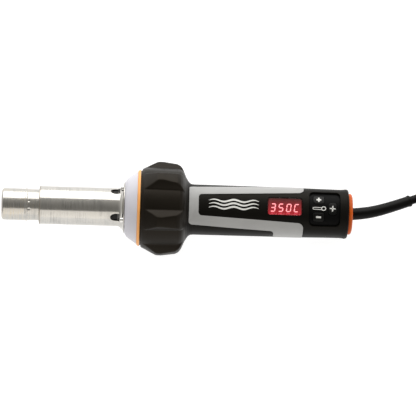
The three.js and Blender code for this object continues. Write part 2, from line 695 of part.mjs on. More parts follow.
// Half round saddle over the lead, with an ear for a screw on each side.
function cableClamp() {
  const { x, long, half, low, high, screws } = CLAMP;
  const bar = box([x - long / 2, -half, low], [x + long / 2, half, high]);
  const holes = screws.map((y) => rod(SCREW_HOLE_R, [x, y, low - 1], [x, y, high + 1], SCREW_ROUND));
  return cut(bar, rod(RELIEF_R + GAP, [x - long, 0, 0], [x + long, 0, 0], 16), ...holes);
}

// ---------------------------------------------------------------- lead, coil and plug

// A round section swept along a smooth line through points.
function swept(points, radius, steps, sides = TINY_ROUND) {
  const line = points.map((p) => new THREE.Vector3(...p));
  const curve = new THREE.CatmullRomCurve3(line, false, 'centripetal');
  const section = new THREE.Shape(evenAngles(sides).map((angle) =>
    new THREE.Vector2(radius * Math.cos(angle * DEG), radius * Math.sin(angle * DEG)),
  ));
  return solid(new THREE.ExtrudeGeometry(section, { steps, bevelEnabled: false, extrudePath: curve }));
}

// Centreline of the sleeve where the lead leaves the tail, in the tool's frame.
const RELIEF_ROUTE = [
  [314, 0, 0], [330, 0, 0], [346, 0.2, 0], [355, 1.1, 0], [364, 2.7, -0.6], [373, 5.1, -1.5],
  [382, 8.2, -2.9], [391, 11.7, -4.7], [400, 15.4, -6.8], [405, 17.5, -7.9],
];
// Centreline of the lead from the sleeve to the coil, and from the coil to the plug, on the table.
const LEAD_ROUTE = [
  [230.2, 17.6, 10.1], [234, 19.2, 8.9], [240, 21.8, 7.1], [247, 24.9, 5.5], [255, 28.3, 4.7],
  [263, 31.5, 4.5], [270, 34.3, 4.5],
];
const TAIL_ROUTE = [
  [320, 31, 30.6], [327, 30.2, 31.6], [335, 27.6, 33.2], [342.5, 23.2, 35.2], [348.4, 17.4, 37.2],
  [353, 11.4, 38.6], [354, 7.2, 39], [354, 3.4, 39],
];
const PLUG = { x: 354, y: 3, z: 39, long: 64, reach: 83, pinY: 9.5, pinR: 2.4 };

function cordCoil() {
  const inner = COIL.radius - (COIL.columns * COIL.pitch) / 2;
  const outer = COIL.radius + (COIL.columns * COIL.pitch) / 2;
  const high = COIL.layers * COIL.pitch;
  const round = 1.5;
  const profile = [
    [inner, round], [inner + round, 0], [outer - round, 0], [outer, round],
    [outer, high - round], [outer - round, high], [inner + round, high], [inner, high - round],
    [inner, round],
  ];
  const geometry = new THREE.LatheGeometry(profile.map(([r, z]) => new THREE.Vector2(r, z)), ROUND);
  return solid(geometry.rotateX(Math.PI / 2).translate(COIL.x, COIL.y, 0));
}

// Two-pin plug body along +x from the lead's end: a ribbed neck that widens into a flat grip.
function plugBody() {
  const sections = [
    [0, 5.4, 5.4], [26, 6.4, 6.4], [30, 9, 8.4], [36, 15, 11.4], [44, 17.6, 12.8], [56, 17.2, 12.6],
    [60, 18.2, 12.8], [PLUG.long, 18.2, 12.8],
  ];
  const loop = sections.map(([x, half, thick]) => evenAngles(20).map((angle) => {
    const [c, s] = [Math.cos(angle * DEG), Math.sin(angle * DEG)];
    const power = 2.6;
    const r = ((Math.abs(c) / half) ** power + (Math.abs(s) / thick) ** power) ** (-1 / power);
    return new THREE.Vector3(x, r * c, r * s);
  }));
  const [first, last] = [loop[0], loop.at(-1)];
  const core = (ringPoints) => ringPoints.map((p) => new THREE.Vector3(p.x, 0, 0));
  return ringLoop([core(first), ...loop, core(last)]);
}

// ---------------------------------------------------------------- assembly

function addFront() {
  const probe = ring(0, THERMOCOUPLE.radius, THERMOCOUPLE.start, THERMOCOUPLE.end, SCREW_ROUND);
  add(tool, 'element_tube', elementTube(), STEEL);
  add(tool, 'guard_tube', guardTube(), STEEL);
  flangeAngles.forEach((angle, i) => {
    const at = polar(FLANGE_X - GAP, angle, FLANGE_SCREW_R);
    add(tool, `flange_screw_${i + 1}`, panScrew(FLANGE_SCREW), DARK_STEEL, at.toArray());
  });
  add(tool, 'ceramic_core', ceramicCore(), CERAMIC);
  const { inner, outer, start, end } = MICA_SLEEVE;
  add(tool, 'mica_sleeve', ring(inner, outer, start, end), MICA);
  add(tool, 'element_base', elementBase(), CERAMIC);
  add(tool, 'thermocouple', probe, DARK_STEEL);
  add(tool, 'heat_shield', heatShield(), SHIELD_GREY);
  add(tool, 'front_seal_ring', frontRing(), LIGHT_ORANGE);
  add(tool, 'air_duct', airDuct(), NATURAL_PLASTIC);
}

function addMotor() {
  add(tool, 'fan_impeller', fanImpeller(), NATURAL_PLASTIC);
  add(tool, 'fan_housing', fanHousing(), BLACK_PLASTIC);
  add(tool, 'motor_mount_ring', motorMount(), BLACK_RUBBER);
  add(tool, 'motor_can', motorCan(), DARK_STEEL);
  add(tool, 'motor_end_cap', motorEndCap(), BLACK_PLASTIC);
  add(tool, 'armature', armature(), COPPER);
  add(tool, 'motor_shaft', ring(0, SHAFT.radius, SHAFT.start, SHAFT.end, TINY_ROUND), STEEL);
  for (const [name, place] of Object.entries(BEARING.places)) {
    add(tool, `${name}_bearing`, ring(BEARING.inner, BEARING.outer, ...place, TINY_ROUND), STEEL);
  }
  [1, -1].forEach((side, i) => add(tool, `carbon_brush_${i + 1}`, carbonBrush(side), CARBON));
}

function addHandle() {
  const tube = handleTube();
  add(tool, 'stand_collar', collar(), BLACK_RUBBER);
  add(tool, 'upper_shell', upperShell(tube), BLACK_PLASTIC);
  add(tool, 'lower_shell', lowerShell(tube), BLACK_PLASTIC);
  const frameSkin = skin(-FRAME_POCKET + GAP, FRAME_PROUD, FRAME_START - 4, FRAME_END + 4);
  add(tool, 'grip_frame_upper', frameSkin.intersect(sector(frameOutline(0))), GREY_GRIP);
  add(tool, 'grip_frame_lower', frameSkin.intersect(sector(bandOutline(0))), GREY_GRIP);
  SCREWS.forEach(({ x, y }, i) => {
    const at = [x, y, SHELL_SCREW_SEAT - GAP];
    const screw = add(tool, `shell_screw_${i + 1}`, panScrew(SHELL_SCREW), DARK_STEEL, at);
    screw.rotation.y = -Math.PI / 2;
  });
}

function addControls() {
  add(tool, 'display_window', displayWindow(), RED_WINDOW);
  add(tool, 'display_module', box(DISPLAY.low, DISPLAY.high), CARBON);
  add(tool, 'keypad_mat', keypadMat(), BLACK_RUBBER);
  BUTTONS.forEach((button) => add(tool, `${button.name}_button`, keypadButton(button), BLACK_RUBBER));
  add(tool, 'display_board', box(DISPLAY_BOARD.low, DISPLAY_BOARD.high), BOARD_GREEN);
  BUTTONS.forEach(({ name, x, y }) => {
    const at = [x, y * 0.92, DISPLAY_BOARD.high[2] + TACT.lift];
    add(tool, `${name}_tact_switch`, tactSwitch(), CARBON, at);
  });
  add(tool, 'control_board', box(CONTROL_BOARD.low, CONTROL_BOARD.high), BOARD_GREEN);
  add(tool, 'triac_heat_sink', heatSink(), ALUMINIUM);
  add(tool, 'terminal_block', terminalBlock(), NATURAL_PLASTIC);
  add(tool, 'switch_body', switchBody(), BLACK_PLASTIC);
  const key = add(tool, 'power_rocker', rocker(), BLACK_PLASTIC, [SWITCH.x, 0, SWITCH.pivot]);
  key.rotation.y = SWITCH.tilt * DEG;
}

function addTail() {
  add(tool, 'rear_cap', rearCap(), ORANGE);
  add(tool, 'filter_mesh', ring(CAP_BORE, FILTER.radius, FILTER.start, FILTER.end), STEEL);
  add(tool, 'cable_clamp', cableClamp(), BLACK_PLASTIC);
  CLAMP.screws.forEach((y, i) => {
    const at = [CLAMP.x, y, CLAMP.high + GAP];
    const screw = add(tool, `clamp_screw_${i + 1}`, panScrew(CLAMP_SCREW), DARK_STEEL, at);
    screw.rotation.y = Math.PI / 2;
  });
}

function addLead() {
  add(tool, 'strain_relief', swept(RELIEF_ROUTE, RELIEF_R, 16), BLACK_RUBBER);
  add(lead, 'power_cord', swept(LEAD_ROUTE, CORD_R, 10, 10), BLACK_RUBBER);
  add(lead, 'cord_coil', cordCoil(), BLACK_RUBBER);
  add(lead, 'cord_tail', swept(TAIL_ROUTE, CORD_R, 8, 10), BLACK_RUBBER);
  const plug = new THREE.Group();
  plug.position.set(PLUG.x, PLUG.y, PLUG.z);
  plug.rotation.z = -Math.PI / 2;
  lead.add(plug);
  add(plug, 'plug_body', plugBody(), BLACK_PLASTIC);
  [PLUG.pinY, -PLUG.pinY].forEach((y, i) => {
    add(plug, `plug_pin_${i + 1}`, rod(PLUG.pinR, [PLUG.long + GAP, y, 0], [PLUG.reach, y, 0]), STEEL);
  });
}

addFront();
addMotor();
addHandle();
addControls();
addTail();
addLead();

// The rest pose: pitched until the tail's rim and two lobes share the table, then set on z = 0.
const LOBE_DROP = LOBE_R * Math.cos((30 - LOBE_TOP) * DEG);
const REST_PITCH = Math.atan2(LOBE_DROP - TAIL_RIM_HALF.b, TAIL_RIM_X - LOBE_X);
const REST_HEIGHT = LOBE_X * Math.sin(REST_PITCH) + LOBE_DROP * Math.cos(REST_PITCH);
const CENTRE_X = 172.41; // middle of the tool's length on the table
tool.rotation.y = REST_PITCH;
tool.position.set(-CENTRE_X, 0, REST_HEIGHT);

const part = new THREE.Group();
part.add(tool, lead);
export default part;
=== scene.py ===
"""A hand-held hot air tool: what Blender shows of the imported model.

The steel heater tube, heat shield, stand collar, handle, display, keypad, tail and lead are
built here as fine surfaces over the solids of the frame. The pieces inside keep their solids
and get finishes of their own.
"""

import json
import logging
import math
from collections.abc import Callable, Sequence
from dataclasses import dataclass, field
from enum import Enum

import bmesh
import bpy
from mathutils import Matrix, Vector


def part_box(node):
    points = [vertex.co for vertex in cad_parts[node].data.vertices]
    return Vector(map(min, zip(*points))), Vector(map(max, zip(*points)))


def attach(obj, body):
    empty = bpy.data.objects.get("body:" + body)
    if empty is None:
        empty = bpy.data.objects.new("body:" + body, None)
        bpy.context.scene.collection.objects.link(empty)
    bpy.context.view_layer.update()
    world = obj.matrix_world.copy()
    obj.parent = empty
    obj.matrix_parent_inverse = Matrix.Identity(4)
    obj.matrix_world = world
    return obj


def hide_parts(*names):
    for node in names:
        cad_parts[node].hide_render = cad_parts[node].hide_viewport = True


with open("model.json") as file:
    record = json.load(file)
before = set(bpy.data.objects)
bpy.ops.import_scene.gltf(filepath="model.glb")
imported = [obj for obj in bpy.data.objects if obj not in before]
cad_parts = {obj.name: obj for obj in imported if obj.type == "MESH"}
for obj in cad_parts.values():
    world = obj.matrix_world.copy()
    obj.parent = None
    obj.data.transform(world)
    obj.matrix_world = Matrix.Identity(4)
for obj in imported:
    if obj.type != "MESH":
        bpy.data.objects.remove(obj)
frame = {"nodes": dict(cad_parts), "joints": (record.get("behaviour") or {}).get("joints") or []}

LOG = logging.getLogger("hot_air_tool")
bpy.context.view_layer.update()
MM = 0.001
PIVOT_X = 170.0  # where the rotor's joint sits on the tool's axis, in the tool's millimetres
TOOL = "tool"
ROCKER = "rocker"
SHARP = 0.01  # the edge radius of a cutter

Point = tuple[float, float]
Triple = tuple[float, float, float]
Colour = Triple
Pad = tuple[float, float, float, float, float]
Outline = Sequence[Point]
Socket = bpy.types.NodeSocket


# ---------------------------------------------------------------------------------- places


@dataclass(frozen=True)
class ToolSpace:
    """Turns the tool's millimetres (x from the nozzle end, z out of the display) into metres."""

    matrix: Matrix

    @classmethod
    def from_frame(cls) -> "ToolSpace":
        """Reads the tool's pitch and place from the rotor's joint.

        Returns:
            The space, with the matrix to the frame's metres.
        """
        joint = next(j for j in frame["joints"] if j["name"] == "rotor_spin")
        turn = Vector((1, 0, 0)).rotation_difference(Vector(joint["axis"]))
        origin = Vector(joint["pos_m"]) - turn @ Vector((PIVOT_X * MM, 0, 0))
        return cls(Matrix.Translation(origin) @ turn.to_matrix().to_4x4() @ Matrix.Scale(MM, 4))

    def point(self, x: float, y: float, z: float) -> Vector:
        """The frame's point at a point of the tool."""
        return self.matrix @ Vector((x, y, z))

    def direction(self, x: float, y: float, z: float) -> Vector:
        """The frame's unit direction along a direction of the tool."""
        return (self.matrix.to_3x3() @ Vector((x, y, z))).normalized()

    @property
    def pitch(self) -> float:
        """Angle by which the tool's nose is raised, in radians."""
        run = self.direction(1, 0, 0)
        return math.atan2(-run.z, run.x)


SPACE = ToolSpace.from_frame()
TABLE = Matrix.Scale(MM, 4)  # millimetres of the frame itself, for what lies on the table


def polar(x: float, angle: float, radius: float) -> Vector:
    """The tool's point at x, at degrees from the display side and a distance from the axis."""
    turn = math.radians(angle)
    return Vector((x, radius * math.sin(turn), radius * math.cos(turn)))


def smoothstep(value: float) -> float:
    """Eases 0 to 1, flat at both ends."""
    t = min(1.0, max(0.0, value))
    return t * t * (3 - 2 * t)


def along(table: Sequence[Point], x: float) -> float:
    """Value at x on a line through (x, value) points.

    Args:
        table: the points, x rising.
        x: where to read it.

    Returns:
        The value, held at the ends.
    """
    if x <= table[0][0]:
        return table[0][1]
    for (x0, v0), (x1, v1) in zip(table, table[1:]):
        if x <= x1:
            return v0 + (v1 - v0) * (x - x0) / (x1 - x0)
    return table[-1][1]


def spread(start: float, end: float, step: float) -> list[float]:
    """Even stations from start to end, no further apart than step."""
    count = max(1, math.ceil(abs(end - start) / step))
    return [start + (end - start) * i / count for i in range(count + 1)]


def rounded(corners: Sequence[Triple], steps: int = 5, closed: bool = True) -> list[Point]:
    """A polygon with round corners.

    Args:
        corners: (u, v, radius) of each corner.
        steps: pieces in each arc.
        closed: whether the last corner joins the first.

    Returns:
        The points of the outline.
    """
    out: list[Point] = []
    count = len(corners)
    for i, (u, v, radius) in enumerate(corners):
        here = Vector((u, v))
        if radius <= 0 or (not closed and i in (0, count - 1)):
            out.append((u, v))
            continue
        before = Vector(corners[i - 1][:2]) - here
        after = Vector(corners[(i + 1) % count][:2]) - here
        half = before.angle(after) / 2
        reach = min(radius / math.tan(half), before.length * 0.95, after.length * 0.95)
        fitted = reach * math.tan(half)
        inwards = (before.normalized() + after.normalized()).normalized()
        centre = here + inwards * (fitted / math.sin(half))
        first = here + before.normalized() * reach - centre
        last = here + after.normalized() * reach - centre
        turn = first.angle_signed(last) if first.length > 0 and last.length > 0 else 0.0
        for k in range(steps + 1):
            swung = Matrix.Rotation(-turn * k / steps, 2) @ first
            out.append((centre.x + swung.x, centre.y + swung.y))
    return out


def rectangle(
    u: float, v: float, width: float, height: float, radius: float, grow: float = 0.0
) -> list[Point]:
    """A rounded rectangle about (u, v), grown all round by grow."""
    w, h, r = width / 2 + grow, height / 2 + grow, max(0.05, radius + grow)
    return rounded([(u + w, v + h, r), (u - w, v + h, r), (u - w, v - h, r), (u + w, v - h, r)])


def disc(u: float, v: float, radius: float, count: int = 20) -> list[Point]:
    """A circle of count points about (u, v)."""
    turns = [math.tau * i / count for i in range(count)]
    return [(u + radius * math.cos(turn), v + radius * math.sin(turn)) for turn in turns]


# ---------------------------------------------------------------------------------- meshes


def link(mesh: bpy.types.Mesh, name: str) -> bpy.types.Object:
    """Puts a mesh in the scene as an object.

    Args:
        mesh: the mesh.
        name: the piece's name.

    Returns:
        The new object.
    """
    obj = bpy.data.objects.new(name, mesh)
    bpy.context.scene.collection.objects.link(obj)
    return obj


def shade(obj: bpy.types.Object, sharp: float = 32.0) -> bpy.types.Object:
    """Shades smooth, with hard lines where faces meet steeply.

    Args:
        obj: the piece.
        sharp: degrees between faces from which a line is hard.

    Returns:
        The same piece.
    """
    for polygon in obj.data.polygons:
        polygon.use_smooth = True
    obj.data.set_sharp_from_angle(angle=math.radians(sharp))
    return obj


def from_bmesh(
    bm: bmesh.types.BMesh, name: str, place: Matrix = SPACE.matrix
) -> bpy.types.Object:
    """Turns a bmesh into an object of the scene, its faces outwards.

    Args:
        bm: the bmesh, which is freed.
        name: the piece's name.
        place: from its space to the frame's metres.

    Returns:
        The object.
    """
    bmesh.ops.remove_doubles(bm, verts=bm.verts, dist=1e-4)
    bmesh.ops.recalc_face_normals(bm, faces=bm.faces)
    bm.transform(place)
    mesh = bpy.data.meshes.new(name)
    bm.to_mesh(mesh)
    bm.free()
    return shade(link(mesh, name))


def rings_object(
    name: str,
    rings: Sequence[Sequence[Vector]],
    loop: bool = True,
    around: bool = True,
    place: Matrix = SPACE.matrix,
) -> bpy.types.Object:
    """A surface through rings of points.

    Args:
        name: the piece's name.
        rings: the rings, each of the same number of points.
        loop: whether the last ring joins the first.
        around: whether each ring closes on itself.
        place: from the points' space to the frame's metres.

    Returns:
        The object.
    """
    bm = bmesh.new()
    made = [[bm.verts.new(p) for p in ring] for ring in rings]
    count = len(rings[0])
    for i in range(len(rings) if loop else len(rings) - 1):
        one, two = made[i], made[(i + 1) % len(rings)]
        for j in range(count if around else count - 1):
            k = (j + 1) % count
            bm.faces.new((one[j], one[k], two[k], two[j]))
    return from_bmesh(bm, name, place)


def lathe(
    name: str,
    profile: Outline,
    sides: int = 128,
    warp: Callable[[float, float, float], float] | None = None,
) -> bpy.types.Object:
    """Turns a closed profile of (x, radius) about the tool's axis.

    Args:
        name: the piece's name.
        profile: the closed profile.
        sides: steps round the axis.
        warp: gives the radius at (x, angle, radius) where the piece isn't round.

    Returns:
        The object.
    """
    angles = [360 * j / sides for j in range(sides)]
    rings = [
        [polar(x, a, warp(x, a, r) if warp else max(r, 1e-5)) for a in angles]
        for x, r in profile
    ]
    return rings_object(name, rings)


def evaluated(obj: bpy.types.Object) -> bpy.types.Mesh:
    """A new mesh of an object as its modifiers leave it."""
    bpy.context.view_layer.update()
    return bpy.data.meshes.new_from_object(obj.evaluated_get(bpy.context.evaluated_depsgraph_get()))


def bake(obj: bpy.types.Object) -> bpy.types.Object:
    """Applies every modifier.

    Args:
        obj: the piece.

    Returns:
        The same piece, without modifiers.
    """
    mesh = evaluated(obj)
    obj.modifiers.clear()
    old, obj.data = obj.data, mesh
    bpy.data.meshes.remove(old)
    return obj


def carve(obj: bpy.types.Object, cutters: Sequence[bpy.types.Object]) -> bpy.types.Object:
    """Cuts objects out of a piece and removes them.

    Args:
        obj: the piece.
        cutters: what is cut out of it.

    Returns:
        The same piece.
    """
    for cutter in cutters:
        step = obj.modifiers.new("cut", "BOOLEAN")
        step.object, step.solver, step.operation = cutter, "EXACT", "DIFFERENCE"
    bake(obj)
    for cutter in cutters:
        bpy.data.objects.remove(cutter)
    return obj


def box_cutter(place: Matrix) -> bpy.types.Object:
    """A box of one millimetre, brought to a place and size in the tool's space.

    Args:
        place: from the box's space to the tool's.

    Returns:
        The object.
    """
    bm = bmesh.new()
    bmesh.ops.create_cube(bm, size=1)
    bm.transform(place)
    return from_bmesh(bm, "slot")


def soften(obj: bpy.types.Object, width: float) -> bpy.types.Object:
    """Rounds the edges of a piece where its faces meet at more than 40 degrees.

    Args:
        obj: the piece.
        width: width of the rounding in millimetres.

    Returns:
        The same piece.
    """
    step = obj.modifiers.new("edges", "BEVEL")
    step.width, step.segments = width * MM, 3
    step.limit_method, step.angle_limit = "ANGLE", math.radians(40)
    return shade(bake(obj))


def flat_plate(
    name: str, outline: Outline, holes: Sequence[Outline], thick: float, edge: float
) -> bpy.types.Mesh:
    """A plate with round edges in the plane of u and v, its thickness from 0 up.

    Args:
        name: the mesh's name.
        outline: its outer points.
        holes: the points of each hole.
        thick: its thickness.
        edge: radius of its edges.

    Returns:
        The mesh, in the outline's units.
    """
    curve = bpy.data.curves.new(name, "CURVE")
    curve.dimensions, curve.fill_mode = "2D", "BOTH"
    curve.extrude = thick / 2 - edge
    curve.bevel_depth, curve.bevel_resolution, curve.offset = edge, 2, -edge
    for points in [outline, *holes]:
        spline = curve.splines.new("POLY")
        spline.points.add(len(points) - 1)
        spline.use_cyclic_u = True
        for made, (u, v) in zip(spline.points, points):
            made.co = (u, v, 0, 1)
    obj = bpy.data.objects.new(name, curve)
    bpy.context.scene.collection.objects.link(obj)
    mesh = evaluated(obj)
    bpy.data.objects.remove(obj)
    mesh.transform(Matrix.Translation((0, 0, thick / 2)))
    return mesh


def flat_piece(
    name: str,
    outline: Outline,
    low: float,
    high: float,
    edge: float = SHARP,
    holes: Sequence[Outline] = (),
) -> bpy.types.Object:
    """A plate parallel to the display.

    Args:
        name: the piece's name.
        outline: its outer points as x and y.
        low: height of its underside over the axis.
        high: height of its top.
        edge: radius of its edges.
        holes: the points of each hole.

    Returns:
        The object.
    """
    bm = bmesh.new()
    bm.from_mesh(flat_plate(name, outline, holes, high - low, edge))
    bm.transform(Matrix.Translation((0, 0, low)))
    return from_bmesh(bm, name)


def sweep(
    name: str,
    centres: Sequence[Vector],
    radii: Sequence[float],
    sides: int,
    place: Matrix = SPACE.matrix,
) -> bpy.types.Object:
    """A round rod with closed ends along a line of centres.

    Args:
        name: the piece's name.
        centres: the line.
        radii: the radius at each point of it.
        sides: steps round the rod.
        place: from the line's space to the frame's metres.

    Returns:
        The object.
    """
    rings: list[list[Vector]] = []
    side = Vector((0, 0, 1))
    turns = [math.tau * j / sides for j in range(sides)]
    spokes = [(math.cos(turn), math.sin(turn)) for turn in turns]
    for i, centre in enumerate(centres):
        run = (centres[min(i + 1, len(centres) - 1)] - centres[max(i - 1, 0)]).normalized()
        side = (side - run * side.dot(run)).normalized()
        other = run.cross(side)
        rings.append([centre + radii[i] * (side * c + other * s) for c, s in spokes])
    closed = [[centres[0]] * sides, *rings, [centres[-1]] * sides]
    return rings_object(name, closed, loop=False, place=place)


def dress(
    obj: bpy.types.Object, finish: "Finish", body: str = TOOL, nodes: Sequence[str] = ()
) -> bpy.types.Object:
    """Gives a piece its finish, its body and the solids that it stands for.

    Args:
        obj: the piece.
        finish: what it is made of.
        body: the body that it rides on.
        nodes: the solids that it stands for.

    Returns:
        The same piece.
    """
    obj.data.materials.clear()
    obj.data.materials.append(finish.material())
    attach(obj, body)
    if nodes:
        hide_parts(*nodes)
    LOG.info("%s: %s", obj.name, finish.slot)
    return obj


# -------------------------------------------------------------------------------- finishes


def srgb(red: int, green: int, blue: int) -> Colour:
    """A linear colour from screen values of 0 to 255.

    Args:
        red: red, 0 to 255.
        green: green, 0 to 255.
        blue: blue, 0 to 255.

    Returns:
        The linear colour, each channel 0 to 1.
    """
    def one(value: int) -> float:
        """One channel of the colour."""
        v = value / 255
        return v / 12.92 if v <= 0.04045 else ((v + 0.055) / 1.055) ** 2.4

    return (one(red), one(green), one(blue))


class Nodes:
    """A material's node tree with a short way to add and join nodes."""

    def __init__(self, name: str) -> None:
        """Starts a material.

        Args:
            name: the material's name.
        """
        self.made = bpy.data.materials.new(name)
        self.made.use_nodes = True
        self.tree = self.made.node_tree
        self.shader = self.tree.nodes["Principled BSDF"]

    def add(self, kind: str, **values: object) -> bpy.types.Node:
        """Adds a node.

        Args:
            kind: the node's type.
            **values: its settings and inputs by name, with _ for a space.

        Returns:
            The node.
        """
        node = self.tree.nodes.new(kind)
        for key, value in values.items():
            if hasattr(node, key):
                setattr(node, key, value)
            else:
                node.inputs[key.replace("_", " ")].default_value = value
        return node

    def join(self, start: Socket, end: Socket) -> None:
        """Joins two sockets."""
        self.tree.links.new(start, end)

    def feed(self, name: str, value: Socket) -> None:
        """Joins a value to one of the shader's own sockets."""
        self.join(value, self.shader.inputs[name])

    def set(self, **values: object) -> None:
        """Sets values on the shader's own sockets.

        Args:
            **values: the values by socket name, with _ for a space.
        """
        for key, value in values.items():
            if key.endswith("Color") or key.endswith("Tint"):
                value = (*value, 1)
            self.shader.inputs[key.replace("_", " ")].default_value = value

    def place(self, stretch: Triple = (1, 1, 1), turn: float = 0.0) -> Socket:
        """The piece's own coordinates, turned and stretched.

        Args:
            stretch: how much finer a pattern gets along each axis.
            turn: turn about the y axis, in radians.

        Returns:
            The coordinates' socket.
        """
        coordinates = self.add("ShaderNodeTexCoord")
        turned = self.add("ShaderNodeMapping", vector_type="TEXTURE")
        turned.inputs["Rotation"].default_value = (0, turn, 0)
        stretched = self.add("ShaderNodeMapping")
        stretched.inputs["Scale"].default_value = stretch
        self.join(coordinates.outputs["Object"], turned.inputs["Vector"])
        self.join(turned.outputs["Vector"], stretched.inputs["Vector"])
        return stretched.outputs["Vector"]

    def noise(self, vector: Socket, scale: float, detail: float = 3, rough: float = 0.5) -> Socket:
        """A noise texture's value over a vector.

        Args:
            vector: where it is read.
            scale: how fine it is, per metre.
            detail: how many finer layers it has.
            rough: how strong they are.

        Returns:
            The noise's socket, about 0.3 to 0.7.
        """
        node = self.add("ShaderNodeTexNoise", Scale=scale, Detail=detail, Roughness=rough)
        self.join(vector, node.inputs["Vector"])
        return node.outputs["Fac"]

    def ramp(self, value: Socket, stops: Sequence[tuple[float, Colour]]) -> Socket:
        """A colour that follows a value through stops.

        Args:
            value: what it follows.
            stops: the value and the colour of each stop.

        Returns:
            The colour's socket.
        """
        node = self.add("ShaderNodeValToRGB")
        elements = node.color_ramp.elements
        while len(elements) < len(stops):
            elements.new(0.5)
        for element, (at, colour) in zip(elements, stops):
            element.position, element.color = at, (*colour, 1)
        self.join(value, node.inputs["Fac"])
        return node.outputs["Color"]

    def level(
        self, value: Socket, low: float, high: float, start: float = 0.3, end: float = 0.7
    ) -> Socket:
        """Brings a value to between two others.

        Args:
            value: the value.
            low: what start becomes.
            high: what end becomes.
            start: the lowest value.
            end: the highest value.

        Returns:
            The new value's socket.
        """
        node = self.add("ShaderNodeMapRange", From_Min=start, From_Max=end, To_Min=low, To_Max=high)
        self.join(value, node.inputs["Value"])
        return node.outputs["Result"]

    def bump(self, height: Socket, strength: float, depth: float) -> None:
        """Raises the surface by a height.

        Args:
            height: the height, 0 to 1.
            strength: how much of it shows.
            depth: the height of 1, in metres.
        """
        node = self.add("ShaderNodeBump", Strength=strength, Distance=depth)
        self.join(height, node.inputs["Height"])
        self.feed("Normal", node.outputs["Normal"])


@dataclass(frozen=True)
class Finish:
    """A finish: the record's slot that it belongs to and the material that shows it."""

    name: str
    slot: str

    def build(self, nodes: Nodes) -> None:
        """Fills the node tree."""
        raise NotImplementedError

    def material(self) -> bpy.types.Material:
        """The finish's material, made once.

        Returns:
            The material, the same one at every call.
        """
        found = bpy.data.materials.get(self.name)
        if found is None:
            nodes = Nodes(self.name)
            self.build(nodes)
            found = nodes.made
        return found


@dataclass(frozen=True)
class Moulded(Finish):
    """Moulded plastic or rubber: a slightly uneven colour and a fine grain."""

    colour: Colour
    roughness: float
    grain: float = 0.00002
    grain_scale: float = 2600.0
    mottle: float = 0.12
    specular: float = 0.5
    tint: Colour = (1.0, 1.0, 1.0)

    def build(self, nodes: Nodes) -> None:
        """Mottled colour, varied roughness and a two-level grain.

        Args:
            nodes: the tree to fill.
        """
        place = nodes.place()
        broad = nodes.noise(place, 60, 4)
        fine = nodes.noise(place, self.grain_scale, 2)
        dark = tuple(c * (1 - self.mottle) for c in self.colour)
        light = tuple(min(1, c * (1 + self.mottle)) for c in self.colour)
        nodes.feed("Base Color", nodes.ramp(broad, [(0.3, dark), (0.7, light)]))
        nodes.feed("Roughness", nodes.level(broad, self.roughness * 0.92, self.roughness * 1.08))
        nodes.set(Specular_IOR_Level=self.specular, Specular_Tint=self.tint)
        nodes.bump(fine, 0.5, self.grain)


@dataclass(frozen=True)
class Brushed(Finish):
    """Turned and brushed steel: fine lines round the tool, smudges, and a trace of heat colour."""

    colour: Colour = (0.74, 0.72, 0.69)
    roughness: float = 0.2
    line_depth: float = 0.000006
    heat: float = 0.0

    def build(self, nodes: Nodes) -> None:
        """Lines from noise that is stretched round the axis, over broad smudges.

        Args:
            nodes: the tree to fill.
        """
        lines = nodes.noise(nodes.place((1, 0.015, 0.015), SPACE.pitch), 2600, 4, 0.75)
        smudge = nodes.noise(nodes.place((1, 1, 1), SPACE.pitch), 55, 5, 0.6)
        mixed = nodes.add("ShaderNodeMix", data_type="FLOAT")
        mixed.inputs[0].default_value = 0.62
        nodes.join(smudge, mixed.inputs[2])
        nodes.join(lines, mixed.inputs[3])
        dark = tuple(c * 0.7 for c in self.colour)
        red, green, blue = self.colour
        warm = (red, green * (1 - 0.06 * self.heat), blue * (1 - 0.16 * self.heat))
        stops = [(0.38, dark), (0.5, self.colour), (0.6, warm)]
        nodes.feed("Base Color", nodes.ramp(mixed.outputs[0], stops))
        nodes.feed("Roughness", nodes.level(lines, self.roughness * 0.7, self.roughness * 1.4))
        nodes.set(Metallic=1.0)
        nodes.bump(lines, 0.5, self.line_depth)


@dataclass(frozen=True)
class Metal(Finish):
    """Plain metal of screws, pins, bearings and wound wire."""

    colour: Colour
    roughness: float = 0.35
    scratch: float = 0.00001

    def build(self, nodes: Nodes) -> None:
        """Fine scratches and tarnish.

        Args:
            nodes: the tree to fill.
        """
        place = nodes.place()
        tarnish = nodes.noise(place, 240, 5)
        dull = tuple(c * 0.7 for c in self.colour)
        nodes.feed("Base Color", nodes.ramp(tarnish, [(0.3, dull), (0.6, self.colour)]))
        nodes.feed("Roughness", nodes.level(tarnish, self.roughness * 1.3, self.roughness * 0.8))
        nodes.set(Metallic=1.0)
        nodes.bump(nodes.noise(nodes.place((1, 1, 8)), 1800, 2), 0.4, self.scratch)


@dataclass(frozen=True)
class Glow(Finish):
    """Lit pieces of the display."""

    colour: Colour
    strength: float

    def build(self, nodes: Nodes) -> None:
        """An even glow with a little unevenness of the light behind it.

        Args:
            nodes: the tree to fill.
        """
        uneven = nodes.noise(nodes.place(), 300, 2)
        soft = tuple(c * 0.9 for c in self.colour)
        nodes.feed("Emission Color", nodes.ramp(uneven, [(0.35, soft), (0.65, self.colour)]))
        nodes.set(Base_Color=self.colour, Emission_Strength=self.strength, Roughness=0.4)


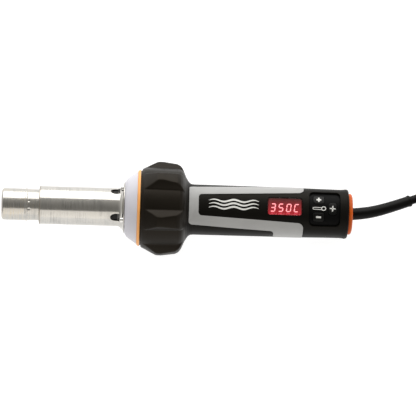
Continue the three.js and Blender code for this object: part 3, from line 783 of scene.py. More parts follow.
@dataclass(frozen=True)
class PaintedGlowFace(Finish):
    """The display's face: a painted glow, red and strongest at its lower half, fading to a dull
    brown painted reflection at its upper half.
    """

    bright: Colour
    dim: Colour
    low: float
    high: float

    def build(self, nodes: Nodes) -> None:
        """A painted glow that fades across the face, from bright red to the dull brown of a painted
        reflection.

        Args:
            nodes: the tree to fill.
        """
        coordinates = nodes.add("ShaderNodeTexCoord")
        split = nodes.add("ShaderNodeSeparateXYZ")
        nodes.join(coordinates.outputs["Object"], split.inputs["Vector"])
        across = nodes.level(split.outputs["Y"], 0.0, 1.0, self.low * MM, self.high * MM)
        middle = tuple((a + b) / 2 for a, b in zip(self.bright, self.dim))
        stops = [(0.0, self.bright), (0.55, middle), (1.0, self.dim)]
        nodes.feed("Emission Color", nodes.ramp(across, stops))
        nodes.set(Base_Color=(0.02, 0.002, 0.003), Emission_Strength=1.0, Roughness=0.5)
        nodes.bump(nodes.noise(nodes.place(), 3000, 2), 0.3, 0.00001)


@dataclass(frozen=True)
class ClearWindow(Finish):
    """Clear red window plastic."""

    tint: Colour

    def build(self, nodes: Nodes) -> None:
        """Tinted, nearly smooth and see-through, with fine wipe marks.

        Args:
            nodes: the tree to fill.
        """
        wipes = nodes.noise(nodes.place((0.2, 1, 1)), 500, 4)
        nodes.feed("Roughness", nodes.level(wipes, 0.03, 0.09))
        nodes.set(Base_Color=self.tint, Transmission_Weight=1.0, IOR=1.46)
        nodes.bump(wipes, 0.05, 0.00001)


@dataclass(frozen=True)
class Board(Finish):
    """A circuit board: solder mask with tracks under it."""

    colour: Colour

    def build(self, nodes: Nodes) -> None:
        """Tracks and pads from a cell pattern, slightly raised.

        Args:
            nodes: the tree to fill.
        """
        place = nodes.place((1, 1, 0.1))
        cells = nodes.add("ShaderNodeTexVoronoi", Scale=420.0, distance="CHEBYCHEV", feature="F1")
        nodes.join(place, cells.inputs["Vector"])
        track = tuple(min(1, c * 2.2 + 0.02) for c in self.colour)
        pad = (0.5, 0.45, 0.3)
        stops = [(0.12, pad), (0.18, track), (0.3, self.colour)]
        nodes.feed("Base Color", nodes.ramp(cells.outputs["Distance"], stops))
        nodes.set(Roughness=0.35, Coat_Weight=0.3)
        nodes.bump(cells.outputs["Distance"], 0.2, 0.00005)


WARM: Colour = (1.0, 0.94, 0.84)  # tints of the shine on black pieces
WARMER: Colour = (1.0, 0.87, 0.74)


class Steel(Enum):
    """The brushed steel of the two tubes."""

    ELEMENT = Brushed("element tube steel", "brushed_steel", (0.53, 0.515, 0.485), 0.2, heat=1.0)
    GUARD = Brushed("guard tube steel", "brushed_steel", (0.555, 0.54, 0.51), 0.16, heat=0.2)
    # painted reflection: darker steel for the dark line that the guard's rounded front edge
    # reflects
    DARK_RIM = Brushed("painted dark rim steel", "brushed_steel", (0.38, 0.35, 0.31), 0.3, heat=1.0)


class Skin(Enum):
    """Moulded finishes of the outside."""

    HANDLE = Moulded(
        "satin black shell", "black_plastic", srgb(9, 8, 6),
        0.46, 0.00002, specular=0.1, tint=WARM,
    )
    COLLAR = Moulded(
        "black rubber collar", "black_rubber", srgb(16, 13, 8),
        0.42, 0.00003, 1900, specular=0.17, tint=WARMER,
    )
    KEYPAD = Moulded(
        "keypad rubber", "black_rubber", srgb(3, 3, 3), 0.5, 0.00002, 2400, specular=0.08,
    )
    BUTTON = Moulded(
        "button rubber", "black_rubber", srgb(7, 7, 6), 0.36, 0.00002, 2400, specular=0.18,
    )
    SLEEVE = Moulded(
        "sleeve rubber", "black_rubber", srgb(6, 5, 4), 0.38, 0.00002, 1500, specular=0.12,
    )
    CORD = Moulded("lead jacket", "black_rubber", srgb(9, 8, 7), 0.45, 0.00002, 1200, specular=0.12)
    FRAME = Moulded(
        "silver grey frame", "grey_grip", srgb(163, 163, 162),
        0.42, 0.00001, 3000, 0.04, specular=0.3,
    )
    SHIELD = Moulded(
        "pale grey shield", "shield_grey", srgb(199, 198, 206), 0.4, 0.00001, 2600, 0.02,
    )
    SEAL = Moulded("light orange seal", "seal_orange", srgb(238, 166, 90), 0.5, 0.00002, 2000, 0.05)
    CAP = Moulded(
        "orange rear cap", "orange_plastic", srgb(202, 88, 24),
        0.36, 0.00002, 2200, 0.08, specular=0.15,
    )
    SWITCH = Moulded("switch black", "black_plastic", srgb(16, 16, 16), 0.3, 0.00001, 2600)
    STRAP = Moulded(
        "woven strap", "black_rubber", srgb(44, 44, 45), 0.7, 0.0002, 1100, 0.3, specular=0.2,
    )
    PLUG = Moulded("plug black", "black_plastic", srgb(20, 20, 19), 0.4, 0.00003, 1800)
    MARK = Moulded("printed mark", "grey_grip", srgb(214, 214, 210), 0.5, 0.000005, 3000, 0.03)


class Inside(Enum):
    """Finishes of what the housing holds."""

    CERAMIC = Moulded("fired ceramic", "ceramic", srgb(226, 217, 200), 0.8, 0.00006, 1400, 0.08)
    MICA = Moulded("mica sheet", "mica", srgb(176, 148, 96), 0.35, 0.00004, 700, 0.3, 0.2)
    NATURAL = Moulded(
        "unpainted plastic", "natural_plastic", srgb(214, 208, 194), 0.5, 0.00002, 1800, 0.05,
    )
    EPOXY = Moulded("black epoxy", "carbon", srgb(30, 30, 32), 0.55, 0.00003, 2600, 0.2)
    BOARD = Board("green board", "board_green", (0.015, 0.11, 0.035))
    COPPER = Metal("enamelled copper", "copper", (0.72, 0.33, 0.16), 0.3, 0.00003)
    ZINC = Metal("zinc-plated steel", "dark_steel", (0.42, 0.42, 0.44), 0.32)
    BRIGHT = Metal("bright steel", "brushed_steel", (0.72, 0.71, 0.69), 0.22)
    ALUMINIUM = Metal("extruded aluminium", "aluminium", (0.74, 0.75, 0.77), 0.35, 0.00002)
    # painted shade: a near-black finish that stands in for the dark inside of the pressed hollows
    HOLLOW_SHADE = Moulded(
        "painted hollow shade", "dark_steel", srgb(5, 4, 4), 0.3, 0.00001, 2200, 0.3, specular=0.2,
    )
    WIRE = Metal("heating wire", "dark_steel", (0.34, 0.31, 0.29), 0.45)


class Lit(Enum):
    """Finishes of the display."""

    WINDOW = ClearWindow("clear red window", "red_window", (0.95, 0.5, 0.5))
    # painted light: the whole face glows, and its dull brown upper half is a painted reflection
    PAINTED_GLOW = PaintedGlowFace("painted display glow", "red_window", srgb(172, 16, 42), srgb(74, 38, 36), -6.0, 8.6)
    DIGIT = Glow("lit digits", "red_window", srgb(255, 222, 228), 1.5)
    DASH = Glow("lit dashes", "red_window", srgb(230, 90, 120), 0.8)


# -------------------------------------------------------------------------- camera, lights


@dataclass
class Studio:
    """The camera, the lights and the floor."""

    aim: Triple = (203.8, 2.0, 0.0)  # the tool's point in the middle of the picture
    towards_nose: float = 1.45  # degrees by which the camera leans to the nozzle end
    towards_right: float = 13.0  # degrees by which it leans to the tool's right side
    roll: float = 1.75
    distance: float = 2.65
    seen_width: float = 0.4118  # width of the view at the tool
    pole_lean: float = 30.0  # degrees by which the dim overhead part leans to the tool's right

    def build(self) -> None:
        """Makes the camera, then the light and the floor."""
        self.make_camera()
        self.make_world()
        self.make_lights()
        self.make_floor()

    def make_camera(self) -> None:
        """A long lens nearly straight over the display."""
        lean, side = math.radians(self.towards_nose), math.radians(self.towards_right)
        rest = math.cos(lean)
        back = SPACE.direction(-math.sin(lean), -math.sin(side) * rest, math.cos(side) * rest)
        run = SPACE.direction(1, 0, 0)
        right = (run - back * run.dot(back)).normalized()
        up = back.cross(right)
        cosine, sine = math.cos(math.radians(self.roll)), math.sin(math.radians(self.roll))
        right, up = right * cosine + up * sine, up * cosine - right * sine
        data = bpy.data.cameras.new("camera")
        data.sensor_width = 36
        data.lens = data.sensor_width * self.distance / self.seen_width
        camera = bpy.data.objects.new("camera", data)
        place = Matrix((right, up, back)).transposed().to_4x4()
        stand = SPACE.point(*self.aim) + back * self.distance
        camera.matrix_world = Matrix.Translation(stand) @ place
        bpy.context.scene.collection.objects.link(camera)
        bpy.context.scene.camera = camera

    def make_world(self) -> None:
        """Light from all round that is pale at the horizon and dim overhead."""
        world = bpy.data.worlds.new("studio")
        bpy.context.scene.world = world
        world.use_nodes = True
        tree = world.node_tree
        coordinates = tree.nodes.new("ShaderNodeTexCoord")
        lean = tree.nodes.new("ShaderNodeMapping")
        lean.inputs["Rotation"].default_value = (math.radians(-self.pole_lean), 0, 0)
        split = tree.nodes.new("ShaderNodeSeparateXYZ")
        ramp = tree.nodes.new("ShaderNodeValToRGB")
        tree.links.new(coordinates.outputs["Generated"], lean.inputs["Vector"])
        tree.links.new(lean.outputs["Vector"], split.inputs["Vector"])
        tree.links.new(split.outputs["Z"], ramp.inputs["Fac"])
        tree.links.new(ramp.outputs["Color"], tree.nodes["Background"].inputs["Color"])
        stops = ramp.color_ramp.elements
        stops.new(0.34)
        horizon, between, overhead = (0.84, 0.83, 0.81), (0.62, 0.61, 0.59), (0.25, 0.245, 0.23)
        levels = ((0.02, horizon), (0.34, between), (0.98, overhead))
        for stop, (height, colour) in zip(stops, levels):
            stop.position, stop.color = height, (*colour, 1)
        tree.nodes["Background"].inputs["Strength"].default_value = 1.0

    def make_lights(self) -> None:
        """A tall soft box on the left of the tool, and a dimmer one on the right."""
        self.soft_box("key", 60.0, 1.0, (1.7, 1.05), 13.5, (1.0, 0.995, 0.98))
        self.soft_box("fill", -66.0, 1.2, (1.7, 1.07), 5.4, (1.0, 0.965, 0.92))

    def soft_box(
        self, name: str, angle: float, reach: float, size: Point, power: float, colour: Colour
    ) -> None:
        """A rectangular light beside the tool.

        Args:
            name: the light's name.
            angle: degrees from straight up, towards the tool's left.
            reach: its distance.
            size: along the tool, and the other way.
            power: in watts.
            colour: its colour.
        """
        data = bpy.data.lights.new(name, "AREA")
        data.shape, data.energy, data.color = "RECTANGLE", power, colour
        data.size, data.size_y = size
        light = bpy.data.objects.new(name, data)
        turn = math.radians(angle)
        towards = Vector((0, math.sin(turn), math.cos(turn)))
        side, tool_height = Vector((1, 0, 0)), Vector((0, 0, 0.04))
        basis = Matrix((side, towards.cross(side), towards)).transposed().to_4x4()
        light.matrix_world = Matrix.Translation(towards * reach + tool_height) @ basis
        bpy.context.scene.collection.objects.link(light)

    def make_floor(self) -> None:
        """A wide white table."""
        half, below = 3.0, -0.0003
        bm = bmesh.new()
        corners = [(-half, -half), (half, -half), (half, half), (-half, half)]
        bm.faces.new([bm.verts.new((x, y, below)) for x, y in corners])
        mesh = bpy.data.meshes.new("floor")
        bm.to_mesh(mesh)
        bm.free()
        floor = link(mesh, "floor")
        nodes = Nodes("white table")
        uneven = nodes.noise(nodes.place(), 9, 3)
        stops = [(0.3, (0.33, 0.33, 0.33)), (0.7, (0.36, 0.36, 0.355))]
        nodes.feed("Base Color", nodes.ramp(uneven, stops))
        nodes.set(Roughness=0.9, Emission_Color=(1, 1, 1), Emission_Strength=0.88)
        mesh.materials.append(nodes.made)


# ------------------------------------------------------------------------------------ lead


@dataclass
class Lead:
    """The mains lead: sleeve, cord, coil and plug, in millimetres."""

    diameter: float = 8.5
    coil_centre: Point = (320.0, -8.0)
    coil_radius: float = 47.3
    pitch: float = 8.6
    columns: int = 3
    layers: int = 3
    entry_angle: float = 111.0
    shift_from: float = -170.0  # where each turn starts to move over to the next track
    shift_angle: float = 60.0
    step: float = 20.0
    tie_angle: float = -70.0
    rise_angle: float = 90.0  # degrees over which the last turn climbs onto the others
    overrun: float = 80.0  # degrees by which the last turn goes on past the first
    sleeve_radius: float = 5.95
    sleeve_taper: float = 0.65
    relief: tuple[Triple, ...] = (  # the sleeve's line, in the tool's space
        (346, 0.2, 0), (355, 1.1, 0), (364, 2.7, -0.6), (373, 5.1, -1.5),
        (382, 8.2, -2.9), (391, 11.7, -4.7), (400, 15.4, -6.8), (405, 17.5, -7.9),
    )
    run: tuple[Triple, ...] = (  # from the sleeve to the coil, on the table
        (234, 19.2, 8.9), (240, 21.8, 7.1), (247, 24.9, 5.5), (255, 28.3, 4.7),
        (263, 31.5, 4.5), (270, 34.3, 4.5), (280, 37.9, 4.4), (290, 41.1, 4.3),
    )
    tail: tuple[Triple, ...] = (  # from the coil's top to the plug
        (320, 30.7, 30.6), (327, 30.2, 31.6), (335, 27.6, 33.2), (342.5, 23.2, 35.2),
        (348.4, 17.4, 37.2), (353, 11.4, 38.6), (354, 7.2, 39), (354, 3.4, 39),
    )

    def build(self) -> None:
        """Makes the sleeve, the plug and the cord."""
        sleeve = self.make_sleeve()
        plug = self.make_plug()
        tie = self.make_tie()
        self.make_cord()

    def tracks(self) -> list[Point]:
        """The turns in winding order: inwards, outwards, inwards.

        Returns:
            The radius and height of each.
        """
        offsets = [(self.columns - 1) / 2 - i for i in range(self.columns)]
        out: list[Point] = []
        for layer in range(self.layers):
            order = offsets if layer % 2 == 0 else offsets[::-1]
            out += [(self.coil_radius + o * self.pitch, (layer + 0.5) * self.pitch) for o in order]
        return out

    def coil_points(self) -> list[Vector]:
        """The line of the turns, clockwise from the lead's side, and its rise over the last.

        Returns:
            The points, in millimetres of the frame.
        """
        tracks = self.tracks()
        end = self.shift_from - 360 * (len(tracks) - 1)
        rise_from, last = end + self.rise_angle, end - self.overrun
        points: list[Vector] = []
        angle = self.entry_angle
        while angle > last:
            turn = max(0.0, (self.shift_from - angle) / 360)
            index = min(int(turn), len(tracks) - 1)
            radius, height = tracks[index]
            if angle < self.shift_from and index < len(tracks) - 1:
                done = smoothstep((turn - index) * 360 / self.shift_angle)
                following = tracks[index + 1]
                radius += (following[0] - radius) * done
                height += (following[1] - height) * done
            if index == len(tracks) - 1 or angle <= rise_from:
                height += (self.pitch + 0.4) * smoothstep((rise_from - angle) / self.rise_angle)
            spin = math.radians(angle)
            x, y = self.coil_centre
            c, s = math.cos(spin), math.sin(spin)
            points.append(Vector((x + radius * c, y + radius * s, height)))
            angle -= self.step
        return points

    def centreline(self) -> list[Vector]:
        """The whole cord's line from the tail to the plug.

        Returns:
            The points, in the frame's metres.
        """
        inside = [SPACE.point(*p) for p in self.relief]
        outside = [*map(Vector, self.run), *self.coil_points(), *map(Vector, self.tail)]
        return inside + [p * MM for p in outside]

    def make_sleeve(self) -> bpy.types.Object:
        """The bend protector: a tapered sleeve with a round lip at its end.

        Returns:
            The sleeve.
        """
        steps = 8
        points = [Vector((x, 0, 0)) for x in (316, 326, 336)] + [Vector(p) for p in self.relief]
        last = len(points) - 1
        line: list[Vector] = []
        for i in range(last):
            before, here, there, after = (points[max(0, min(last, i + k))] for k in (-1, 0, 1, 2))
            for t in (k / steps for k in range(steps)):
                line.append(0.5 * (
                    2 * here + (there - before) * t
                    + (2 * before - 5 * here + 4 * there - after) * t**2
                    + (3 * here - before - 3 * there + after) * t**3
                ))
        line.append(points[-1])
        count = len(line)
        eased = [smoothstep((i / (count - 1) - 0.3) / 0.7) for i in range(count)]
        radii = [self.sleeve_radius - self.sleeve_taper * part for part in eased]
        lip = (0.35, 0.45, 0.45, 0.4, 0.1)
        for i, rise in enumerate(lip, count - len(lip)):
            radii[i] += rise
        sleeve = sweep("bend_sleeve", line, radii, 48)
        return dress(sleeve, Skin.SLEEVE.value, TOOL, ["strain_relief"])

    def make_plug(self) -> list[bpy.types.Object]:
        """The plug's body with its ribbed neck, and the two pins.

        Returns:
            The body and the two pins.
        """
        low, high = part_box("plug_body")
        x, z = (low.x + high.x) / 2 / MM, (low.z + high.z) / 2 / MM
        y = high.y / MM
        length, sides, closed = 63.7, 64, 0.01
        halves = (  # distance from the neck's end, and half the width there
            (0.0, 5.0), (0.6, 5.4), (26, 6.3), (29, 7.2), (32, 10.6), (37, 15.0),
            (44, 17.2), (52, 17.0), (57.5, 16.9), (58.5, 17.9), (63, 17.9), (length, 17.2),
        )
        heights = (
            (0.0, 5.0), (0.6, 5.4), (26, 6.3), (29, 7.2), (32, 9.4), (37, 11.4),
            (44, 12.5), (52, 12.2), (57.5, 12.1), (58.5, 12.6), (63, 12.6), (length, 11.9),
        )
        stations: list[Triple] = [(0, closed, closed)]
        for at in spread(0, length, 0.65):
            rib = 0.5 if 5 < at < 26 and math.fmod(at, 3.2) < 1.5 else 0.0
            stations.append((at, along(halves, at) - rib, along(heights, at) - rib))
        stations.append((length, closed, closed))
        rings: list[list[Vector]] = []
        for at, half, thick in stations:
            power = along([(24, 2.0), (40, 2.7)], at)
            ring: list[Vector] = []
            for turn in (math.tau * i / sides for i in range(sides)):
                c, s = math.cos(turn), math.sin(turn)
                r = ((abs(c) / half) ** power + (abs(s) / thick) ** power) ** (-1 / power)
                ring.append(Vector((x + r * c, y - at, z + r * s)))
            rings.append(ring)
        shell = rings_object("plug_shell", rings, loop=False, place=TABLE)
        pieces = [dress(shell, Skin.PLUG.value, TOOL, ["plug_body"])]
        for number in (1, 2):
            node = f"plug_pin_{number}"
            low, high = (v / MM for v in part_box(node))
            middle_x, middle_z = (low.x + high.x) / 2, (low.z + high.z) / 2
            stations = (high.y, low.y + 1.2, low.y + 0.4, low.y)
            line = [Vector((middle_x, at, middle_z)) for at in stations]
            pin = sweep(f"contact_{number}", line, [2.4, 2.4, 2.0, 1.2], 24, TABLE)
            pieces.append(dress(pin, Inside.BRIGHT.value, TOOL, [node]))
        return pieces

    def make_tie(self) -> bpy.types.Object:
        """A strap wound round the coil's turns at one place, with rounded edges.

        Returns:
            The strap.
        """
        spin = math.radians(self.tie_angle)
        out = Vector((math.cos(spin), math.sin(spin), 0))
        across = Vector((-out.y, out.x, 0))
        centre = Vector((*self.coil_centre, 0)) + out * self.coil_radius
        half = self.columns * self.pitch / 2
        high, wide, thick = self.layers * self.pitch, 5.0, 1.1
        def ring(grow: float, at: float) -> list[Vector]:
            """The strap's outline at one place of its width.

            Args:
                grow: how far it lies outside the turns.
                at: the place, from the strap's middle.

            Returns:
                The points.
            """
            side, top, low = half + grow, high + grow, 0.15 - 0.1 * grow
            corners = [(-side, low, 2.0), (side, low, 2.0), (side, top, 3.6), (-side, top, 3.6)]
            outline = rounded(corners, 7)
            return [centre + out * u + Vector((0, 0, v)) + across * at for u, v in outline]

        first_edge = ((0, -wide), (0.7, -wide), (1, 0.4 - wide))
        section = [*first_edge, *[(part, -at) for part, at in reversed(first_edge)]]
        rings = [ring(thick * part, at) for part, at in section]
        return dress(rings_object("coil_tie", rings, place=TABLE), Skin.STRAP.value)

    def make_cord(self) -> None:
        """One smooth curve with the lead's real length and thickness.
        """
        points = self.centreline()
        curve = bpy.data.curves.new("mains_lead", "CURVE")
        curve.dimensions, curve.use_fill_caps = "3D", True
        curve.bevel_depth, curve.bevel_resolution, curve.resolution_u = self.diameter / 2 * MM, 5, 5
        spline = curve.splines.new("BEZIER")
        spline.bezier_points.add(len(points) - 1)
        for made, point in zip(spline.bezier_points, points):
            made.co = point
            made.handle_left_type = made.handle_right_type = "AUTO"
        cord = bpy.data.objects.new("mains_lead", curve)
        bpy.context.scene.collection.objects.link(cord)
        dress(cord, Skin.CORD.value, TOOL, ["power_cord", "cord_coil", "cord_tail"])


# ----------------------------------------------------------------------------------- front


@dataclass
class Front:
    """The tubes, the flange with its screws, the heat shield and the seal ring."""

    seat_radius: float = 15.75  # of the heater tube
    wall: float = 0.9
    neck_step: float = 0.35  # how much thinner the heater tube is behind its bead
    lip: float = 12.0  # radius of the opening in its rolled end
    edge: float = 2.9
    bead: float = 24.6
    tube_end: float = 122.0
    guard_radius: float = 18.9
    guard_start: float = 37.4
    flare_start: float = 113.4
    flare_rise: float = 0.86  # the flare's rise as a part of its length
    flange: float = 120.3
    flange_radius: float = 25.4
    screw_radius: float = 22.6
    screw_phase: float = 44.0
    screw_count: int = 4
    dent_end: float = 116.6
    dent_length: float = 9.2
    dent_half: float = 13.5  # degrees
    dent_depth: float = 1.5
    shade_width: float = 0.93  # of the hollow, where it is painted black as its shade

    def build(self) -> None:
        """Makes the front from the nozzle end backwards."""
        self.make_element_tube()
        self.make_guard_tube()
        self.make_rim()
        self.make_hollow_shades()
        self.make_screws()
        self.make_shield()
        self.make_seal()
        self.make_heater()

    def make_element_tube(self) -> None:
        """The inner tube: a rolled end, a bead, and stakes pressed in behind it."""
        r, inner, bead = self.seat_radius, self.seat_radius - self.wall, self.bead
        neck = r - self.neck_step
        staked = [(x, neck, 0.0) for x in spread(bead + 1.6, bead + 5, 0.5)]
        profile = rounded([
            (0.0, self.lip, 0.0), (0.0, r, self.edge), (bead - 1.4, r, 0.8),
            (bead - 0.6, r + 0.35, 0.3), (bead + 0.6, r + 0.35, 0.3), (bead + 1.4, neck, 0.3),
            *staked, (self.guard_start + 2, neck, 0.0),
            (self.tube_end, neck, 0.0), (self.tube_end, inner, 0.0), (40, inner, 0.0),
            (4.2, inner, 1.4), (0.9, self.lip, 0.0),
        ], 8)

        def stakes(x: float, angle: float, radius: float) -> float:
            """Presses V marks in a row behind the bead.

            Args:
                x: the place along the tool.
                angle: degrees from the display side.
                radius: the radius without the marks.

            Returns:
                The radius with them.
            """
            off = math.fmod(angle + 15, 30) - 15
            depth = max(0.0, 1 - abs(x - bead - 2.6) / 1.6) * max(0.0, 1 - abs(off) / 5)
            return radius - 0.5 * depth if radius > inner + 0.4 else radius

        tube = lathe("heater_tube", profile, 240, stakes)
        dress(tube, Steel.ELEMENT.value, TOOL, ["element_tube"])

    def make_rim(self) -> None:
        """The guard tube's front edge, folded in over the heater tube, in darker steel that paints
        the dark reflection of its rounded edge.
        """
        r, x, seat = self.guard_radius, self.guard_start, self.seat_radius + 0.5
        profile = rounded([
            (x - 0.3, seat, 0.2), (x - 0.3, r - 0.2, 0.6), (x + 0.4, r + 0.12, 0.1),
            (x + 1.1, r + 0.12, 0.1), (x + 1.1, r - 0.6, 0.1), (x + 0.5, seat, 0.1),
        ], 5)
        dress(lathe("guard_rim", profile, 160), Steel.DARK_RIM.value)

    def hollow_half(self, x: float) -> float:
        """Half the width of a hollow, a teardrop that is round at its front.

        Args:
            x: the place along the tool.

        Returns:
            The half width, in degrees.
        """
        t = (self.dent_end - x) / self.dent_length
        return self.dent_half * math.sqrt(max(0.0, 1 - max(0.0, (t - 0.4) / 0.6) ** 2))

    def dent(self, x: float, angle: float) -> float:
        """How deep the hollow in front of each flange screw is at a place.

        Args:
            x: the place along the tool.
            angle: degrees from the display side.

        Returns:
            The depth, from 0 to 1.
        """
        t = (self.dent_end - x) / self.dent_length
        apart = 360 / self.screw_count
        off = math.fmod(angle - self.screw_phase + 4.5 * apart, apart) - apart / 2
        half = self.hollow_half(x)
        if not 0 <= t <= 1 or abs(off) >= half:
            return 0.0
        across = smoothstep(3.0 * (1 - abs(off) / half))
        return across * smoothstep((1 - t) * 3.6) * smoothstep(t * 6)

    def make_hollow_shades(self) -> None:
        """Painted shade: a near-black thin skin over the pressed steel inside each hollow."""
        steps, outside, inside = 12, 0.12, -0.3
        stations = spread(self.dent_end - self.dent_length + 0.2, self.dent_end - 0.1, 0.25)

        def row(middle: float, x: float, lift: float) -> list[Vector]:
            """One row of points across a hollow.

            Args:
                middle: the hollow's middle, in degrees.
                x: the place along the tool.
                lift: how far the row lies over the steel.

            Returns:
                The points.
            """
            half = self.shade_width * self.hollow_half(x)
            angles = [middle + half * k / steps for k in range(-steps, steps + 1)]
            return [polar(x, a, self.guard_surface(x, a) + lift) for a in angles]

        for i in range(self.screw_count):
            middle = self.screw_phase + 360 * i / self.screw_count
            rows = [row(middle, x, outside) for x in stations]
            rows += [row(middle, x, inside) for x in reversed(stations)]
            dress(rings_object(f"screw_hollow_shade_{i + 1}", rows, around=False), Inside.HOLLOW_SHADE.value)

    def guard_surface(self, x: float, angle: float) -> float:
        """The guard tube's outer surface in front of its flange.

        Args:
            x: the place along the tool.
            angle: degrees from the display side.

        Returns:
            Its distance from the axis.
        """
        flare = self.flange - self.flare_start
        turn = math.asin(min(1.0, max(0.0, (x - self.flare_start) / flare)))
        rise = flare * self.flare_rise * (1 - math.cos(turn))
        pressed = self.guard_radius + rise - self.dent_depth * self.dent(x, angle)
        return max(pressed, self.seat_radius + 0.6)

    def make_guard_tube(self) -> None:
        """The outer tube, flared into a flange, with a hollow in front of each screw."""
        flare, sides, corner = self.flange - self.flare_start, 288, 0.3
        straight = [*spread(self.guard_start, self.flange - 14, 8),
                    *spread(self.flange - 13, self.flare_start - 0.4, 0.5)]
        outer = [(x, self.guard_radius) for x in straight]
        for turn in (math.radians(90 * k / 14) for k in range(15)):
            rise = flare * self.flare_rise * (1 - math.cos(turn))
            outer.append((self.flare_start + flare * math.sin(turn), self.guard_radius + rise))
        top, widest, behind = outer[-1][1], self.flange_radius, self.flange + self.wall
        flat = [(self.flange, r) for r in spread(top + corner, widest - corner, 0.5)]
        rim = [(self.flange + corner, widest), (behind - 0.2, widest)]
        back = [(behind, widest - corner), (behind, top - self.wall)]
        inner = [(x + 0.25 * self.wall, r - self.wall) for x, r in reversed(outer)]
        inner[-1] = (self.guard_start, self.guard_radius - self.wall)
        profile = [*outer, *flat, *rim, *back, *inner]
        front_count = len(outer) + len(flat)
        rings = []
        for i, (x, r) in enumerate(profile):
            pressed = i < front_count or i >= len(profile) - len(inner)
            on_flare = r < top + 3.2
            depth = self.dent_depth if pressed and on_flare else 0.0
            before = min(x, self.flange - 0.01)
            ring = []
            for angle in (360 * j / sides for j in range(sides)):
                sunk = r - depth * self.dent(before, angle)
                ring.append(polar(x, angle, max(sunk, self.seat_radius + 0.6)))
            rings.append(ring)
        tube = rings_object("guard_tube_shell", rings)
        shade(tube, 50)
        dress(tube, Steel.GUARD.value, TOOL, ["guard_tube"])

    def make_screws(self) -> None:
        """Four pan-head screws with crossed slots."""
        head, rise, shank, reach, axis = 2.5, 3.2, 1.3, 5.5, 0.01
        profile = rounded([
            (-rise, axis, 0), (-rise, head, 1.0), (-0.1, head, 0.1), (-0.1, shank, 0),
            (reach, shank, 0), (reach, axis, 0),
        ], 5, closed=False)
        for i in range(self.screw_count):
            angle = self.screw_phase + 360 * i / self.screw_count
            at = polar(self.flange, angle, self.screw_radius)
            rings = [[at + polar(x, 15 * j, r) for j in range(24)] for x, r in profile]
            screw = rings_object(f"flange_bolt_{i + 1}", rings, loop=False)
            cutters = []
            for turn in (20, 110):
                spin = Matrix.Rotation(math.radians(turn), 4, "X")
                top = Matrix.Translation(at - Vector((rise, 0, 0)))
                cutters.append(box_cutter(top @ spin @ Matrix.Diagonal((2.2, 3.0, 0.6, 1))))
            carve(screw, cutters)
            dress(shade(screw), Inside.BRIGHT.value, TOOL, [f"flange_screw_{i + 1}"])

    def make_shield(self) -> None:
        """The pale cone with its rounded front edge."""
        profile = rounded([
            (121.5, 20.4, 0.3), (121.5, 25.2, 0.8), (123.6, 28.8, 2.4), (126.0, 30.7, 3.0),
            (133.4, 35.6, 0.5), (133.8, 35.6, 0.2), (133.8, 33.4, 0.2), (127.0, 27.8, 1),
            (124.2, 26.0, 1), (124.2, 20.4, 0.3),
        ], 6)
        dress(lathe("cone_shield", profile, 160), Skin.SHIELD.value, TOOL, ["heat_shield"])

    def make_seal(self) -> None:
        """The light orange ring between the shield and the collar."""
        profile = rounded([
            (133.85, 34.2, 0.1), (133.85, 36.2, 0.3), (135.0, 37.4, 0.8), (136.3, 37.7, 0.5),
            (136.6, 37.4, 0.2), (136.6, 34.2, 0.1),
        ], 5)
        dress(lathe("orange_seal", profile, 160), Skin.SEAL.value, TOOL, ["front_seal_ring"])

    def make_heater(self) -> None:
        """The heating wire wound in the core's channels, seen down the tube."""
        channels, circle, start, steps, per_turn, rise = 6, 7.6, 14.6, 120, 8, 0.7
        coil_radius, wire_radius = 1.35, 0.32
        for i in range(channels):
            middle = polar(start, 360 * i / channels, circle)
            line = []
            for k in range(steps + 1):
                turn = math.tau * k / per_turn
                swing = Vector((0, math.cos(turn), math.sin(turn))) * coil_radius
                line.append(middle + Vector((rise * k, 0, 0)) + swing)
            wire = sweep(f"heating_wire_{i + 1}", line, [wire_radius] * len(line), 6)
            dress(wire, Inside.WIRE.value)


# ---------------------------------------------------------------------------------- collar


